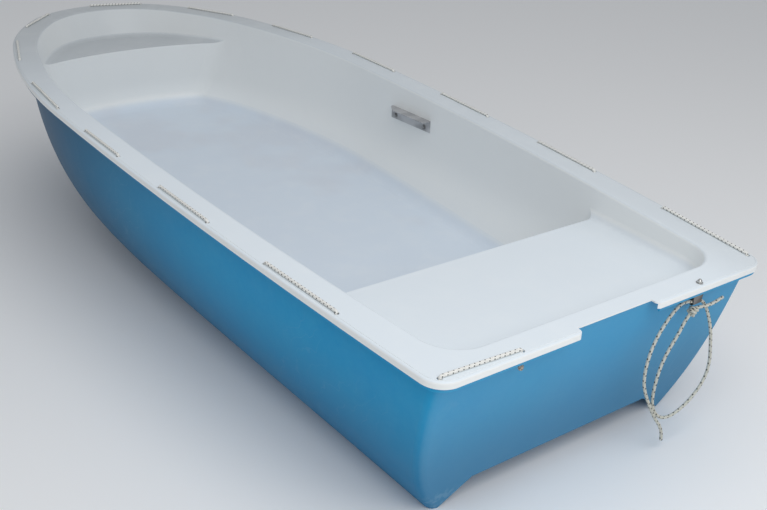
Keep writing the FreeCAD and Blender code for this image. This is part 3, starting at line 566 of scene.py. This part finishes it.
@dataclass(frozen=True)
class BraidedRope(Finish):
    """Cream braid with painted shade in the grooves between its plaits and dark marker yarns that show as
    flecks; it follows the piece's UV map in metres.
    """

    cream: Colour = srgb(232, 231, 219)
    groove_shade_and_soil: Colour = srgb(196, 193, 180)
    dark: Colour = srgb(34, 33, 36)
    fleck_pitch: float = 0.019
    fleck_width: float = 0.085
    fleck_length: float = 0.13
    plaits: float = 8.0
    plait_pitch: float = 0.010
    ridge_full: float = 0.6
    fleck_edge: float = 0.7
    fleck_strength: float = 0.92
    fleck_rows: Tuple[Tuple[float, float], ...] = ((0.0, 0.0), (0.25, 0.3), (0.5, 0.55), (0.75, 0.85))

    def build(self) -> bpy.types.Material:
        """Makes the material.

        Returns:
            The material.
        """
        material, sheet, shader = self.start()
        uv = sheet.split(sheet.add("ShaderNodeUVMap", uv_map="rope").outputs[0])
        turn = sheet.times(uv["X"], self.plaits * 2 * math.pi)
        rise = sheet.times(uv["Y"], 2 * math.pi / self.plait_pitch)
        right = sheet.maths("SINE", sheet.maths("ADD", turn, rise))
        left = sheet.maths("SINE", sheet.maths("SUBTRACT", turn, rise))
        ridge = sheet.ramp(sheet.maths("ABSOLUTE", sheet.times(right, left)), 0.0, self.ridge_full)
        # Painted shade: the grooves between the plaits take the darker colour, which the soil noise below
        # also uses.
        colour = sheet.mix(ridge, self.groove_shade_and_soil, self.cream)
        steps = sheet.maths("DIVIDE", uv["Y"], self.fleck_pitch)
        fleck = None
        for row, shift in self.fleck_rows:
            in_lane = self.near_middle(sheet, sheet.maths("ADD", uv["X"], 1.5 - row), self.fleck_width)
            in_span = self.near_middle(sheet, sheet.maths("ADD", steps, shift), self.fleck_length)
            spot = sheet.times(in_lane, in_span)
            fleck = spot if fleck is None else sheet.maths("MAXIMUM", fleck, spot)
        colour = sheet.mix(sheet.times(fleck, self.fleck_strength), colour, self.dark)
        soil = sheet.noise(sheet.object_coordinates(), scale=30.0, detail=4.0)
        colour = sheet.mix(sheet.ramp(soil, 0.5, 0.75, end=0.3), colour, self.groove_shade_and_soil)
        sheet.link(colour, shader.inputs["Base Color"])
        self.bump(sheet, shader, ridge, strength=0.7, distance=0.0006)
        return material

    def near_middle(self, sheet: NodeSheet, value: bpy.types.NodeSocket,
                    reach: float) -> bpy.types.NodeSocket:
        """1 where a value is near the middle of its step from one whole number to the next.

        Args:
            sheet: The material's sheet.
            value: The value's socket.
            reach: How far from the middle the result ends.

        Returns:
            The result's socket.
        """
        away = sheet.maths("ABSOLUTE", sheet.maths("SUBTRACT", sheet.maths("FRACT", value), 0.5))
        return sheet.ramp(away, reach * self.fleck_edge, reach, start=1.0, end=0.0)


@dataclass(frozen=True)
class SealedEnd(Finish):
    """The melted, soiled end of a cut rope."""

    dark: Colour = srgb(40, 36, 34)
    light: Colour = srgb(74, 66, 60)

    def build(self) -> bpy.types.Material:
        """Makes the material.

        Returns:
            The material.
        """
        material, sheet, shader = self.start()
        place = sheet.object_coordinates()
        patches = sheet.ramp(sheet.noise(place, scale=400.0), 0.4, 0.65)
        sheet.link(sheet.mix(patches, self.dark, self.light), shader.inputs["Base Color"])
        self.bump(sheet, shader, patches, strength=0.5, distance=0.0004)
        return material


@dataclass(frozen=True)
class DullMetal(Finish):
    """Bare metal with a brushed grain and dull patches."""

    bright: Colour = srgb(196, 196, 194)
    dull: Colour = srgb(150, 150, 150)
    dull_roughness: float = 0.22

    def build(self) -> bpy.types.Material:
        """Makes the material.

        Returns:
            The material.
        """
        material, sheet, shader = self.start()
        place = sheet.object_coordinates()
        grain = sheet.noise(place, scale=500.0, roughness=0.6, stretch=(0.08, 1.0, 1.0))
        patches = sheet.ramp(sheet.noise(place, scale=16.0), 0.38, 0.66)
        colour = sheet.mix(patches, self.bright, self.dull)
        sheet.link(colour, shader.inputs["Base Color"])
        rough = sheet.maths("ADD", sheet.times(patches, self.dull_roughness), self.roughness)
        sheet.link(rough, shader.inputs["Roughness"])
        self.bump(sheet, shader, grain, strength=0.3, distance=0.0004)
        return material


def smooth_line(name: str, points: Sequence[Point], resolution: int) -> List[Vector]:
    """Points along a rope's smooth line, a NURBS spline with the route as its control points.

    Args:
        name: The line's name.
        points: The route's points, in metres.
        resolution: Steps from one control point to the next.

    Returns:
        The points in order.
    """
    curve = bpy.data.curves.new(name + "_line", "CURVE")
    curve.dimensions = "3D"
    curve.resolution_u = resolution
    spline = curve.splines.new("NURBS")
    spline.points.add(len(points) - 1)
    for control, point in zip(spline.points, points):
        control.co = (*point, 1.0)
    spline.order_u = 3
    spline.use_endpoint_u = True
    holder = new_object(name + "_line", curve)
    depsgraph = bpy.context.evaluated_depsgraph_get()
    mesh = bpy.data.meshes.new_from_object(holder.evaluated_get(depsgraph), depsgraph=depsgraph)
    line = [vertex.co.copy() for vertex in mesh.vertices]
    bpy.data.meshes.remove(mesh)
    bpy.data.objects.remove(holder)
    return line


def even_line(line: Sequence[Vector], step: float) -> List[Vector]:
    """The same line with its points a fixed step apart.

    Args:
        line: The line's points.
        step: The wanted spacing in metres.

    Returns:
        The new points, which keep both ends.
    """
    lengths = [0.0]
    for before, after in zip(line, line[1:]):
        lengths.append(lengths[-1] + (after - before).length)
    count = max(2, round(lengths[-1] / step))
    result = []
    place = 0
    for number in range(count + 1):
        wanted = lengths[-1] * number / count
        while place < len(line) - 2 and lengths[place + 1] < wanted:
            place += 1
        span = max(lengths[place + 1] - lengths[place], 1e-9)
        share = min(max((wanted - lengths[place]) / span, 0.0), 1.0)
        result.append(line[place].lerp(line[place + 1], share))
    return result


@dataclass
class RopePiece:
    """A length of round rope swept along a line, with a UV map in turns and metres.

    Its far end can be sealed over a short length, which takes the second material, and the whole piece can
    swell towards its middle.
    """

    name: str
    line: List[Vector]
    radius: float
    sides: int = 12
    sealed: float = 0.0
    swell: float = 0.0

    def build(self) -> bpy.types.Object:
        """Sweeps the rope with bmesh extrusions.

        Returns:
            The rope's object.
        """
        bm = bmesh.new()
        heading = (self.line[1] - self.line[0]).normalized()
        radius = self.radius
        ring = self.first_ring(bm, heading)
        order = {vertex: number for number, vertex in enumerate(ring)}
        run = {vertex: 0.0 for vertex in ring}
        edges = first_edges = list(bm.edges)
        travelled = 0.0
        whole = sum((after - before).length for before, after in zip(self.line, self.line[1:]))
        for before, point, after in zip(self.line, self.line[1:], self.line[2:] + self.line[-1:]):
            ahead = (after - before).normalized()
            bend = heading.rotation_difference(ahead)
            travelled += (point - before).length
            made = bmesh.ops.extrude_edge_only(bm, edges=edges)["geom"]
            fresh = [item for item in made if isinstance(item, bmesh.types.BMVert)]
            newest = set(fresh)
            edges = [item for item in made
                     if isinstance(item, bmesh.types.BMEdge) and newest.issuperset(item.verts)]
            for vertex in fresh:
                around = (edge.other_vert(vertex) for edge in vertex.link_edges)
                order[vertex] = order[next(other for other in around if other not in newest)]
                run[vertex] = travelled
            bmesh.ops.translate(bm, verts=fresh, vec=point - before)
            bmesh.ops.rotate(bm, verts=fresh, cent=point, matrix=bend.to_matrix())
            heading = ahead
            if self.swell:
                wanted = self.radius * (1 + self.swell * math.sin(math.pi * min(travelled / whole, 1.0)))
                for vertex in fresh:
                    vertex.co = point + (vertex.co - point) * (wanted / radius)
                radius = wanted
        self.write_uv(bm, order, run)
        bmesh.ops.holes_fill(bm, edges=first_edges, sides=0)
        bmesh.ops.holes_fill(bm, edges=edges, sides=0)
        self.fix_order(bm)
        bmesh.ops.recalc_face_normals(bm, faces=bm.faces[:])
        for face in bm.faces:
            face.smooth = len(face.verts) == 4
            if self.sealed and min(run[vertex] for vertex in face.verts) > whole - self.sealed:
                face.material_index = 1
        return link_piece(self.name, new_mesh(self.name, bm))

    def first_ring(self, bm: bmesh.types.BMesh, heading: Vector) -> List[bmesh.types.BMVert]:
        """Makes the ring that the rope starts from.

        Args:
            bm: The rope's bmesh.
            heading: The way the rope sets off.

        Returns:
            The ring's vertices.
        """
        ring = bmesh.ops.create_circle(bm, cap_ends=False, segments=self.sides, radius=self.radius)["verts"]
        turn = Vector((0, 0, 1)).rotation_difference(heading)
        bmesh.ops.rotate(bm, verts=ring, cent=(0, 0, 0), matrix=turn.to_matrix())
        bmesh.ops.translate(bm, verts=ring, vec=self.line[0])
        return ring

    def fix_order(self, bm: bmesh.types.BMesh) -> None:
        """Sorts edges and faces by their vertices, since extruding leaves them in another order each run.

        Args:
            bm: The rope's bmesh.
        """
        bm.verts.index_update()
        count = len(bm.verts)
        for items in (bm.edges, bm.faces):
            items.sort(key=lambda item: min(vertex.index for vertex in item.verts) * count
                       + max(vertex.index for vertex in item.verts))

    def write_uv(self, bm: bmesh.types.BMesh, order: Dict[bmesh.types.BMVert, int],
                 run: Dict[bmesh.types.BMVert, float]) -> None:
        """Writes turns round the rope and metres along it.

        Args:
            bm: The rope's bmesh.
            order: Each vertex's number in its ring.
            run: Each vertex's distance from the start.
        """
        uv_layer = bm.loops.layers.uv.new("rope")
        for face in bm.faces:
            numbers = [order[loop.vert] for loop in face.loops]
            wraps = max(numbers) - min(numbers) > self.sides / 2
            for loop in face.loops:
                number = order[loop.vert]
                if wraps and number < self.sides / 2:
                    number += self.sides
                loop[uv_layer].uv = (number / self.sides, run[loop.vert])


def link_piece(name: str, mesh: bpy.types.Mesh) -> bpy.types.Object:
    """Puts a mesh in the scene as a piece that rides on the boat.

    Args:
        name: The piece's name.
        mesh: Its mesh, placed in the boat's frame.

    Returns:
        The piece's object.
    """
    piece = new_object(name, mesh)
    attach(piece, "root")
    return piece


def dress(piece: bpy.types.Object, *materials: bpy.types.Material) -> None:
    """Gives a piece its materials.

    Args:
        piece: The piece.
        materials: Its materials, in the order of its faces' numbers.
    """
    piece.data.materials.clear()
    for material in materials:
        piece.data.materials.append(material)


def turns_about(line: Sequence[Vector], length: float, reach: float, turns: float,
                spacing: float = 0.5 * MM, turn_steps: int = 20) -> List[Vector]:
    """A rope's turns about the last stretch of another rope.

    Args:
        line: The inner rope's line.
        length: How much of its end the turns cover.
        reach: From the inner rope's middle to the turns' own.
        turns: How many turns there are.
        spacing: The spacing of the spots that the turns go round.
        turn_steps: Points to a turn.

    Returns:
        The turns' line.
    """
    back = even_line(list(reversed(line)), spacing)
    spots = back[:max(2, round(length / spacing))]
    axis = (spots[-1] - spots[0]).normalized()
    side = axis.cross(Vector((1.0, 0.0, 0.0))).normalized()
    count = round(turns * turn_steps)
    result = []
    for number in range(count + 1):
        share = number / count
        middle = spots[min(round(share * (len(spots) - 1)), len(spots) - 1)]
        turned = side.copy()
        turned.rotate(Quaternion(axis, 2 * math.pi * turns * share))
        result.append(middle + turned * reach)
    return result


@dataclass
class HullFlange:
    """The hull's own flange and turned-down lip, which lie under the white liner's and show as a blue edge.

    The arcs are the flange's outline on the port side, from the stern corner to the bow: centre, radius, and
    the headings that each one runs between. All lengths are the boat's millimetres.
    """

    arcs: Tuple[Tuple[float, float, float, float, float], ...] = (
        (-1444.0, 465.287, 56.0, 180.0, 95.591), (291.0, -17259.45, 17865.45, 95.591, 90.0),
        (291.0, -1784.598, 2390.598, 90.0, 72.0), (730.147, -433.042, 969.488, 72.0, 49.5),
        (1100.0, 0.0, 400.0, 49.5, 0.0))
    profile: Tuple[Tuple[float, float], ...] = (
        (4.3, 4.3), (4.3, 25.2), (5.1, 26.0), (7.9, 26.0), (8.7, 25.2), (8.7, 9.0), (34.5, 9.0), (34.5, 4.3))
    sheer: Tuple[Tuple[float, float], ...] = ((-1500.0, 446.5), (0.0, 531.0), (1500.0, 593.0))
    stern: float = -1500.0
    notch: float = 131.0
    step: float = 22.0
    fewest: int = 8
    stern_step: float = 60.0
    drill: float = 6.0
    drill_length: float = 20.0
    drill_drop: float = 7.0
    drill_sides: int = 24
    crease: float = 35.0

    def stations(self) -> List[Tuple[Vector, Vector]]:
        """Points along the flange's edge with their outward directions, from the notch round to the notch.

        Returns:
            Pairs of a point and a direction, both in plan.
        """
        first_y = self.arcs[0][1]
        count = round((first_y - self.notch) / self.stern_step)
        port = [(Vector((self.stern, self.notch + (first_y - self.notch) * number / count, 0.0)),
                 Vector((-1.0, 0.0, 0.0))) for number in range(count)]
        for x, y, radius, start, end in self.arcs:
            count = max(self.fewest, round(radius * math.radians(abs(end - start)) / self.step))
            for number in range(count):
                angle = math.radians(start + (end - start) * number / count)
                out = Vector((math.cos(angle), math.sin(angle), 0.0))
                port.append((Vector((x, y, 0.0)) + out * radius, out))
        mirror = Matrix.Diagonal((1.0, -1.0, 1.0))
        bow = [(Vector((self.arcs[-1][0] + self.arcs[-1][2], 0.0, 0.0)), Vector((1.0, 0.0, 0.0)))]
        return port + bow + [(mirror @ place, mirror @ out) for place, out in reversed(port)]

    def height(self, x: float) -> float:
        """The flange's height at one station, on the circle through its three heights.

        Args:
            x: How far forward the station is.

        Returns:
            The height.
        """
        (x1, z1), (x2, z2), (x3, z3) = self.sheer
        rise, fall = (z2 - z1) / (x2 - x1), (z3 - z2) / (x3 - x2)
        middle = (rise * fall * (z1 - z3) + fall * (x1 + x2) - rise * (x2 + x3)) / (2 * (fall - rise))
        level = (z1 + z2) / 2 - (middle - (x1 + x2) / 2) / rise
        reach = math.hypot(x2 - middle, z2 - level)
        return level + math.sqrt(reach ** 2 - (x - middle) ** 2)

    def sweep(self) -> bpy.types.Mesh:
        """Carries the profile round the edge and closes its two ends.

        Returns:
            The flange's mesh, without holes.
        """
        bm = bmesh.new()
        rings = []
        for place, out in self.stations():
            ring = []
            for inset, drop in self.profile:
                spot = place - out * inset
                ring.append(bm.verts.new(Vector((spot.x, spot.y, self.height(spot.x) - drop)) * MM))
            rings.append(ring)
        for here, there in zip(rings, rings[1:]):
            for number in range(len(here)):
                after = (number + 1) % len(here)
                bm.faces.new((here[number], here[after], there[after], there[number]))
        bm.faces.new(reversed(rings[0]))
        bm.faces.new(rings[-1])
        bmesh.ops.recalc_face_normals(bm, faces=bm.faces)
        return new_mesh("hull_flange_swept", bm)

    def drills(self, holes: Sequence[Point]) -> bpy.types.Mesh:
        """Makes an upright round drill at each of the rope's holes.

        Args:
            holes: The middles of the holes, in the boat's millimetres.

        Returns:
            One mesh with every drill.
        """
        bm = bmesh.new()
        for hole in holes:
            place = Matrix.Translation((Vector(hole) - Vector((0.0, 0.0, self.drill_drop))) * MM)
            bmesh.ops.create_cone(bm, cap_ends=True, segments=self.drill_sides, radius1=self.drill * MM,
                                  radius2=self.drill * MM, depth=self.drill_length * MM, matrix=place)
        return new_mesh("hull_flange_drills", bm)

    def build(self, holes: Sequence[Point]) -> bpy.types.Object:
        """Makes the flange with its holes.

        Args:
            holes: The middles of the rope's holes, in the boat's millimetres.

        Returns:
            The flange's object.
        """
        body = new_object("hull_flange_body", self.sweep())
        tool = new_object("hull_flange_tool", self.drills(holes))
        change = body.modifiers.new("holes", "BOOLEAN")
        change.operation = "DIFFERENCE"
        change.solver = "EXACT"
        change.object = tool
        graph = bpy.context.evaluated_depsgraph_get()
        mesh = bpy.data.meshes.new_from_object(body.evaluated_get(graph))
        mesh.name = "hull_flange"
        for item in (body, tool):
            bpy.data.objects.remove(item, do_unlink=True)
        bm = bmesh.new()
        bm.from_mesh(mesh)
        for edge in bm.edges:
            edge.smooth = len(edge.link_faces) == 2 and edge.calc_face_angle() < math.radians(self.crease)
        for face in bm.faces:
            face.smooth = True
        bm.to_mesh(mesh)
        bm.free()
        return link_piece("hull_flange", mesh)


@dataclass
class Mouldings:
    """The blue hull and the white liner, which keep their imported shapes, and the hull's flange."""

    hull_finish: HullGelcoat = HullGelcoat(
        "hull_gelcoat_weathered_painted_shade_and_light", roughness=0.45, specular=0.22,
        marks=(
            ((-1.36, 0.40, 0.30), (0.07, 0.09, 0.07), 0.16),
            ((-1.42, 0.43, 0.36), (0.04, 0.07, 0.05), 0.15),
            ((-1.37, 0.38, 0.03), (0.06, 0.08, 0.04), 0.18),
        ))
    liner_finish: LinerGelcoat = LinerGelcoat("liner_gelcoat_worn_painted_shade_and_light", roughness=0.36, specular=0.4)

    def build(self) -> None:
        """Dresses both mouldings and makes the flange."""
        hull = self.hull_finish.build()
        flange = HullFlange().build(GrabLine().holes)
        dress(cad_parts["hull_shell"], hull)
        dress(flange, hull)
        dress(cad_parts["deck_liner"], self.liner_finish.build())
        LOG.info("dressed both mouldings")


@dataclass
class Fittings:
    """The painter's eye, its bolt, and the seat brackets with their bolts."""

    steel: DullMetal = DullMetal("fitting_steel_polished", roughness=0.24, metallic=1.0)
    eye: DullMetal = DullMetal("eye_steel_weathered", roughness=0.38, metallic=0.9,
                               bright=srgb(134, 131, 128), dull=srgb(104, 101, 98))
    angle: DullMetal = DullMetal("bracket_aluminium_dull", roughness=0.5, metallic=0.7,
                                 bright=srgb(198, 198, 199), dull=srgb(176, 177, 179))

    def build(self) -> None:
        """Dresses every metal node."""
        steel = self.steel.build()
        eye = self.eye.build()
        angle = self.angle.build()
        for name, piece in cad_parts.items():
            if name.startswith(("eye_", "bracket_bolt", "bracket_washer")):
                dress(piece, steel)
            elif name == "painter_eye":
                dress(piece, eye)
            elif name.startswith("seat_bracket"):
                dress(piece, angle)
        LOG.info("dressed the metal fittings")


@dataclass
class Studio:
    """The floor, the soft light and the camera at the photograph's angle.

    Each box light has its place, the point that it faces, its side and its power.
    """

    camera_place: Point = (-2.7717, 1.6024, 1.5011)
    camera_right: Point = (-0.588, -0.80848, 0.02484)
    camera_up: Point = (0.35457, -0.23002, 0.90629)
    focal_pixels: float = 1025.903
    frame_width: float = 767.0
    sensor: float = 36.0
    far_clip: float = 200.0
    floor_size: float = 60.0
    floor_paint: Colour = (0.92, 0.92, 0.92, 1.0)
    surround: Colour = (0.93, 0.96, 1.0, 1.0)
    surround_strength: float = 0.48
    soft_box: Tuple[Point, Point, float, float] = ((-2.95, 0.45, 2.7), (-0.8, 0.1, 0.3), 2.8, 48.0)
    fill_box: Tuple[Point, Point, float, float] = ((-1.1, -0.5, 4.4), (-0.7, 0.0, 0.0), 4.6, 20.0)

    def build(self) -> None:
        """Makes the floor, the lights, the world and the camera."""
        self.build_floor()
        self.build_world()
        self.area("soft_box", *self.soft_box)
        self.area("fill_box", *self.fill_box)
        self.build_camera()
        self.plain_display()

    def plain_display(self) -> None:
        """Shows colours as they are, with no film curve over them."""
        view = bpy.context.scene.view_settings
        view.view_transform = "Standard"
        view.look = "None"

    def build_floor(self) -> None:
        """A plain pale floor."""
        bm = bmesh.new()
        bmesh.ops.create_grid(bm, x_segments=1, y_segments=1, size=self.floor_size / 2)
        floor = new_object("studio_floor", new_mesh("studio_floor", bm))
        material, _, shader = Finish("studio_floor_paint", roughness=0.9, specular=0.2).start()
        shader.inputs["Base Color"].default_value = self.floor_paint
        dress(floor, material)

    def build_world(self) -> None:
        """An even pale surround."""
        world = bpy.data.worlds.new("studio_world")
        world.use_nodes = True
        background = world.node_tree.nodes["Background"]
        background.inputs["Color"].default_value = self.surround
        background.inputs["Strength"].default_value = self.surround_strength
        bpy.context.scene.world = world

    def area(self, name: str, place: Point, target: Point, size: float, power: float) -> None:
        """A square soft light.

        Args:
            name: The light's name.
            place: Where it hangs.
            target: The point that it faces.
            size: Its side in metres.
            power: Its power in watts.
        """
        data = bpy.data.lights.new(name, "AREA")
        data.shape = "SQUARE"
        data.size = size
        data.energy = power
        lamp = new_object(name, data)
        lamp.location = place
        lamp.rotation_mode = "QUATERNION"
        lamp.rotation_quaternion = (Vector(target) - Vector(place)).to_track_quat("-Z", "Y")

    def build_camera(self) -> None:
        """The camera, from its place and its own right and up directions."""
        data = bpy.data.cameras.new("photo_camera")
        data.sensor_fit = "HORIZONTAL"
        data.sensor_width = self.sensor
        data.lens = self.focal_pixels / self.frame_width * self.sensor
        data.clip_end = self.far_clip
        camera = new_object("photo_camera", data)
        right = Vector(self.camera_right).normalized()
        up = Vector(self.camera_up)
        up = (up - right * up.dot(right)).normalized()
        back = right.cross(up)
        turn = Matrix((right, up, back)).transposed()
        camera.rotation_mode = "QUATERNION"
        camera.rotation_quaternion = turn.to_quaternion()
        camera.location = self.camera_place
        bpy.context.scene.camera = camera


@dataclass
class GrabLine:
    """The rope threaded over and under the flange, with a sealed stopper at each end."""

    finish: BraidedRope = BraidedRope("grab_rope_braid", roughness=0.85, specular=0.25,
                                      cream=srgb(254, 254, 250), groove_shade_and_soil=srgb(240, 239, 232),
                                      fleck_pitch=0.013, fleck_width=0.075, fleck_length=0.13)
    stopper_finish: SealedEnd = SealedEnd("grab_rope_melted", roughness=0.6,
                                          dark=srgb(112, 98, 86), light=srgb(206, 198, 184))
    diameter: float = 8.0
    flange: float = 9.0
    gap: float = 0.2
    lead: float = 12.0
    stopper: float = 13.0
    stopper_core: float = 4.4
    stopper_sides: int = 14
    stopper_step: float = 1.2
    slack: float = 23.0
    line_steps: int = 6
    holes: Tuple[Point, ...] = (
        (-1485, 284, 447.5), (-1475, 492, 448.1), (-1173, 531, 466.9), (-907, 551, 482.6), (-651, 566, 497.1),
        (-404, 577, 510.4), (-154, 585, 523.3), (73, 590, 534.5), (296, 591, 545.0), (571, 574, 557.2),
        (845, 525, 568.7), (1075, 457, 577.7), (1264, 358, 584.7), (1420, 214, 590.3), (1485, 13, 592.5),
        (1434, -192, 590.7), (1286, -343, 585.5), (1089, -451, 578.3), (875, -518, 569.9), (651, -564, 560.7),
        (396, -589, 549.5), (140, -590, 537.7), (-142, -586, 523.9), (-390, -578, 511.2), (-640, -567, 497.7),
        (-889, -552, 483.7), (-1160, -532, 467.6), (-1454, -505, 449.5))
    bulges: Tuple[float, ...] = (6.3, 0.5, 0.4, 0.4, 4.1, 6.0, 14.7, 12.2, 3.4, 3.5, 0.6, 0.4, 0.5)

    def controls(self) -> List[Point]:
        """The rope's control points in metres, from the port stern hole round the bow to the starboard one.

        Returns:
            The points; the runs under the flange bow out with its edge.
        """
        over = Vector((0.0, 0.0, self.diameter / 2 + self.gap))
        under = Vector((0.0, 0.0, -self.flange - self.diameter / 2 - self.gap))
        end = Vector((0.0, 0.0, -self.flange - self.gap - self.slack))
        spots = [Vector(hole) for hole in self.holes]
        points = [spots[0] + end]
        for number, (here, there) in enumerate(zip(spots, spots[1:])):
            rise = under if number % 2 else over
            step = (there - here).normalized()
            points += [here + rise, here + step * self.lead + rise]
            if number % 2:
                out = Vector((-step.y, step.x, 0.0)) * self.bulges[number // 2]
                for share in (0.25, 0.5, 0.75):
                    points.append(here.lerp(there, share) + out * (4 * share * (1 - share)) + rise)
            points += [there - step * self.lead + rise, there + rise]
        points.append(spots[-1] + end)
        return [tuple(point * MM) for point in points]

    def build(self) -> None:
        """Sweeps the rope and its two stoppers."""
        material = self.finish.build()
        line = smooth_line("grab_line", self.controls(), self.line_steps)
        rope = RopePiece("grab_line_rope", line, self.diameter / 2 * MM).build()
        melted = self.stopper_finish.build()
        pieces = [(rope, "grab_line", material)]
        for side, hole in (("port", self.holes[0]), ("starboard", self.holes[-1])):
            top = (Vector(hole) + Vector((0.0, 0.0, -self.flange - self.gap - self.slack))) * MM
            foot = top + Vector((0.0, 0.0, -self.stopper * MM))
            nub = even_line([top, foot], self.stopper_step * MM)
            swell = self.stopper / (2 * self.stopper_core) - 1
            piece = RopePiece("grab_stopper_" + side, nub, self.stopper_core * MM, self.stopper_sides,
                              swell=swell)
            pieces.append((piece.build(), "grab_knot_" + side, melted))
        for piece, node, finish in pieces:
            dress(piece, finish)
            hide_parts(node)
            LOG.info("made %s", piece.name)


@dataclass
class Painter:
    """The limp rope that hangs from its eye: a fall, a loop back to the knot, and the knot's short tail."""

    finish: BraidedRope = BraidedRope("painter_rope_braid", roughness=0.85, specular=0.25)
    sealed_finish: SealedEnd = SealedEnd("painter_rope_end", roughness=0.6)
    stern: float = -1500.0
    diameter: float = 8.0
    in_eye: Point = (-1480.8, -281.0, 396.6)
    knot: Point = (-1479.6, -286.0, 377.9)
    fall: Tuple[Point, ...] = (
        (20, -252, 406), (19, -226, 405), (18, -199, 389), (17, -172, 363), (16, -150, 334), (16, -136, 300),
        (16, -129, 262), (16, -131, 222), (16, -145, 186), (16, -167, 147), (15, -190, 107), (16, -216, 75),
        (16, -232, 46), (16, -233, 24))
    loop: Tuple[Point, ...] = (
        (22, -305, 394), (23, -325, 378), (22, -343, 350), (21, -358, 317), (21, -371, 281), (21, -379, 242),
        (21, -387, 202), (21, -384, 164), (21, -367, 134), (21, -337, 108), (21, -302, 90), (21, -264, 81),
        (21, -228, 87), (21, -199, 110), (21, -181, 143), (21, -179, 182), (21, -185, 222), (21, -197, 260),
        (21, -219, 295), (21, -243, 324), (22, -261, 355))
    stub: Tuple[Point, ...] = ((12, -313, 378), (10, -346, 379), (10, -376, 386))
    sealed_end: float = 7.0
    turns: float = 2.3
    turns_length: float = 19.0
    line_steps: int = 24
    spacing: float = 3.0

    def route(self, start: Point, points: Iterable[Point], end: Optional[Point] = None) -> List[Point]:
        """A route in metres, from points measured from the stern.

        Args:
            start: The first point, in the boat's millimetres.
            points: The following points, with x from the stern.
            end: A last point, in the boat's millimetres.

        Returns:
            The route's points.
        """
        spots = [start] + [(x + self.stern, y, z) for x, y, z in points]
        if end is not None:
            spots.append(end)
        return [(x * MM, y * MM, z * MM) for x, y, z in spots]

    def build(self) -> None:
        braid = self.finish.build()
        sealed = self.sealed_finish.build()
        radius = self.diameter / 2 * MM
        routes = {"painter_fall": self.route(self.in_eye, self.fall),
                  "painter_loop": self.route(self.in_eye, self.loop, self.knot),
                  "painter_stub": self.route(self.knot, self.stub)}
        lines = {node: smooth_line(node, route, self.line_steps) for node, route in routes.items()}
        turns = turns_about(lines["painter_loop"], self.turns_length * MM, self.diameter * MM, self.turns)
        knot = RopePiece("painter_knot_turns", turns, radius).build()
        dress(knot, braid)
        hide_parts("painter_knot")
        for node, smooth in lines.items():
            line = even_line(smooth, self.spacing * MM)
            tied = node == "painter_loop"
            rope = RopePiece(node + "_rope", line, radius, sealed=0.0 if tied else self.sealed_end * MM)
            piece = rope.build()
            dress(piece, braid, sealed)
            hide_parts(node)


def main() -> None:
    """Builds every class in order."""
    logging.basicConfig(level=logging.INFO)
    Studio().build()
    Painter().build()
    GrabLine().build()
    Mouldings().build()
    Fittings().build()


if __name__ == "__main__":
    main()
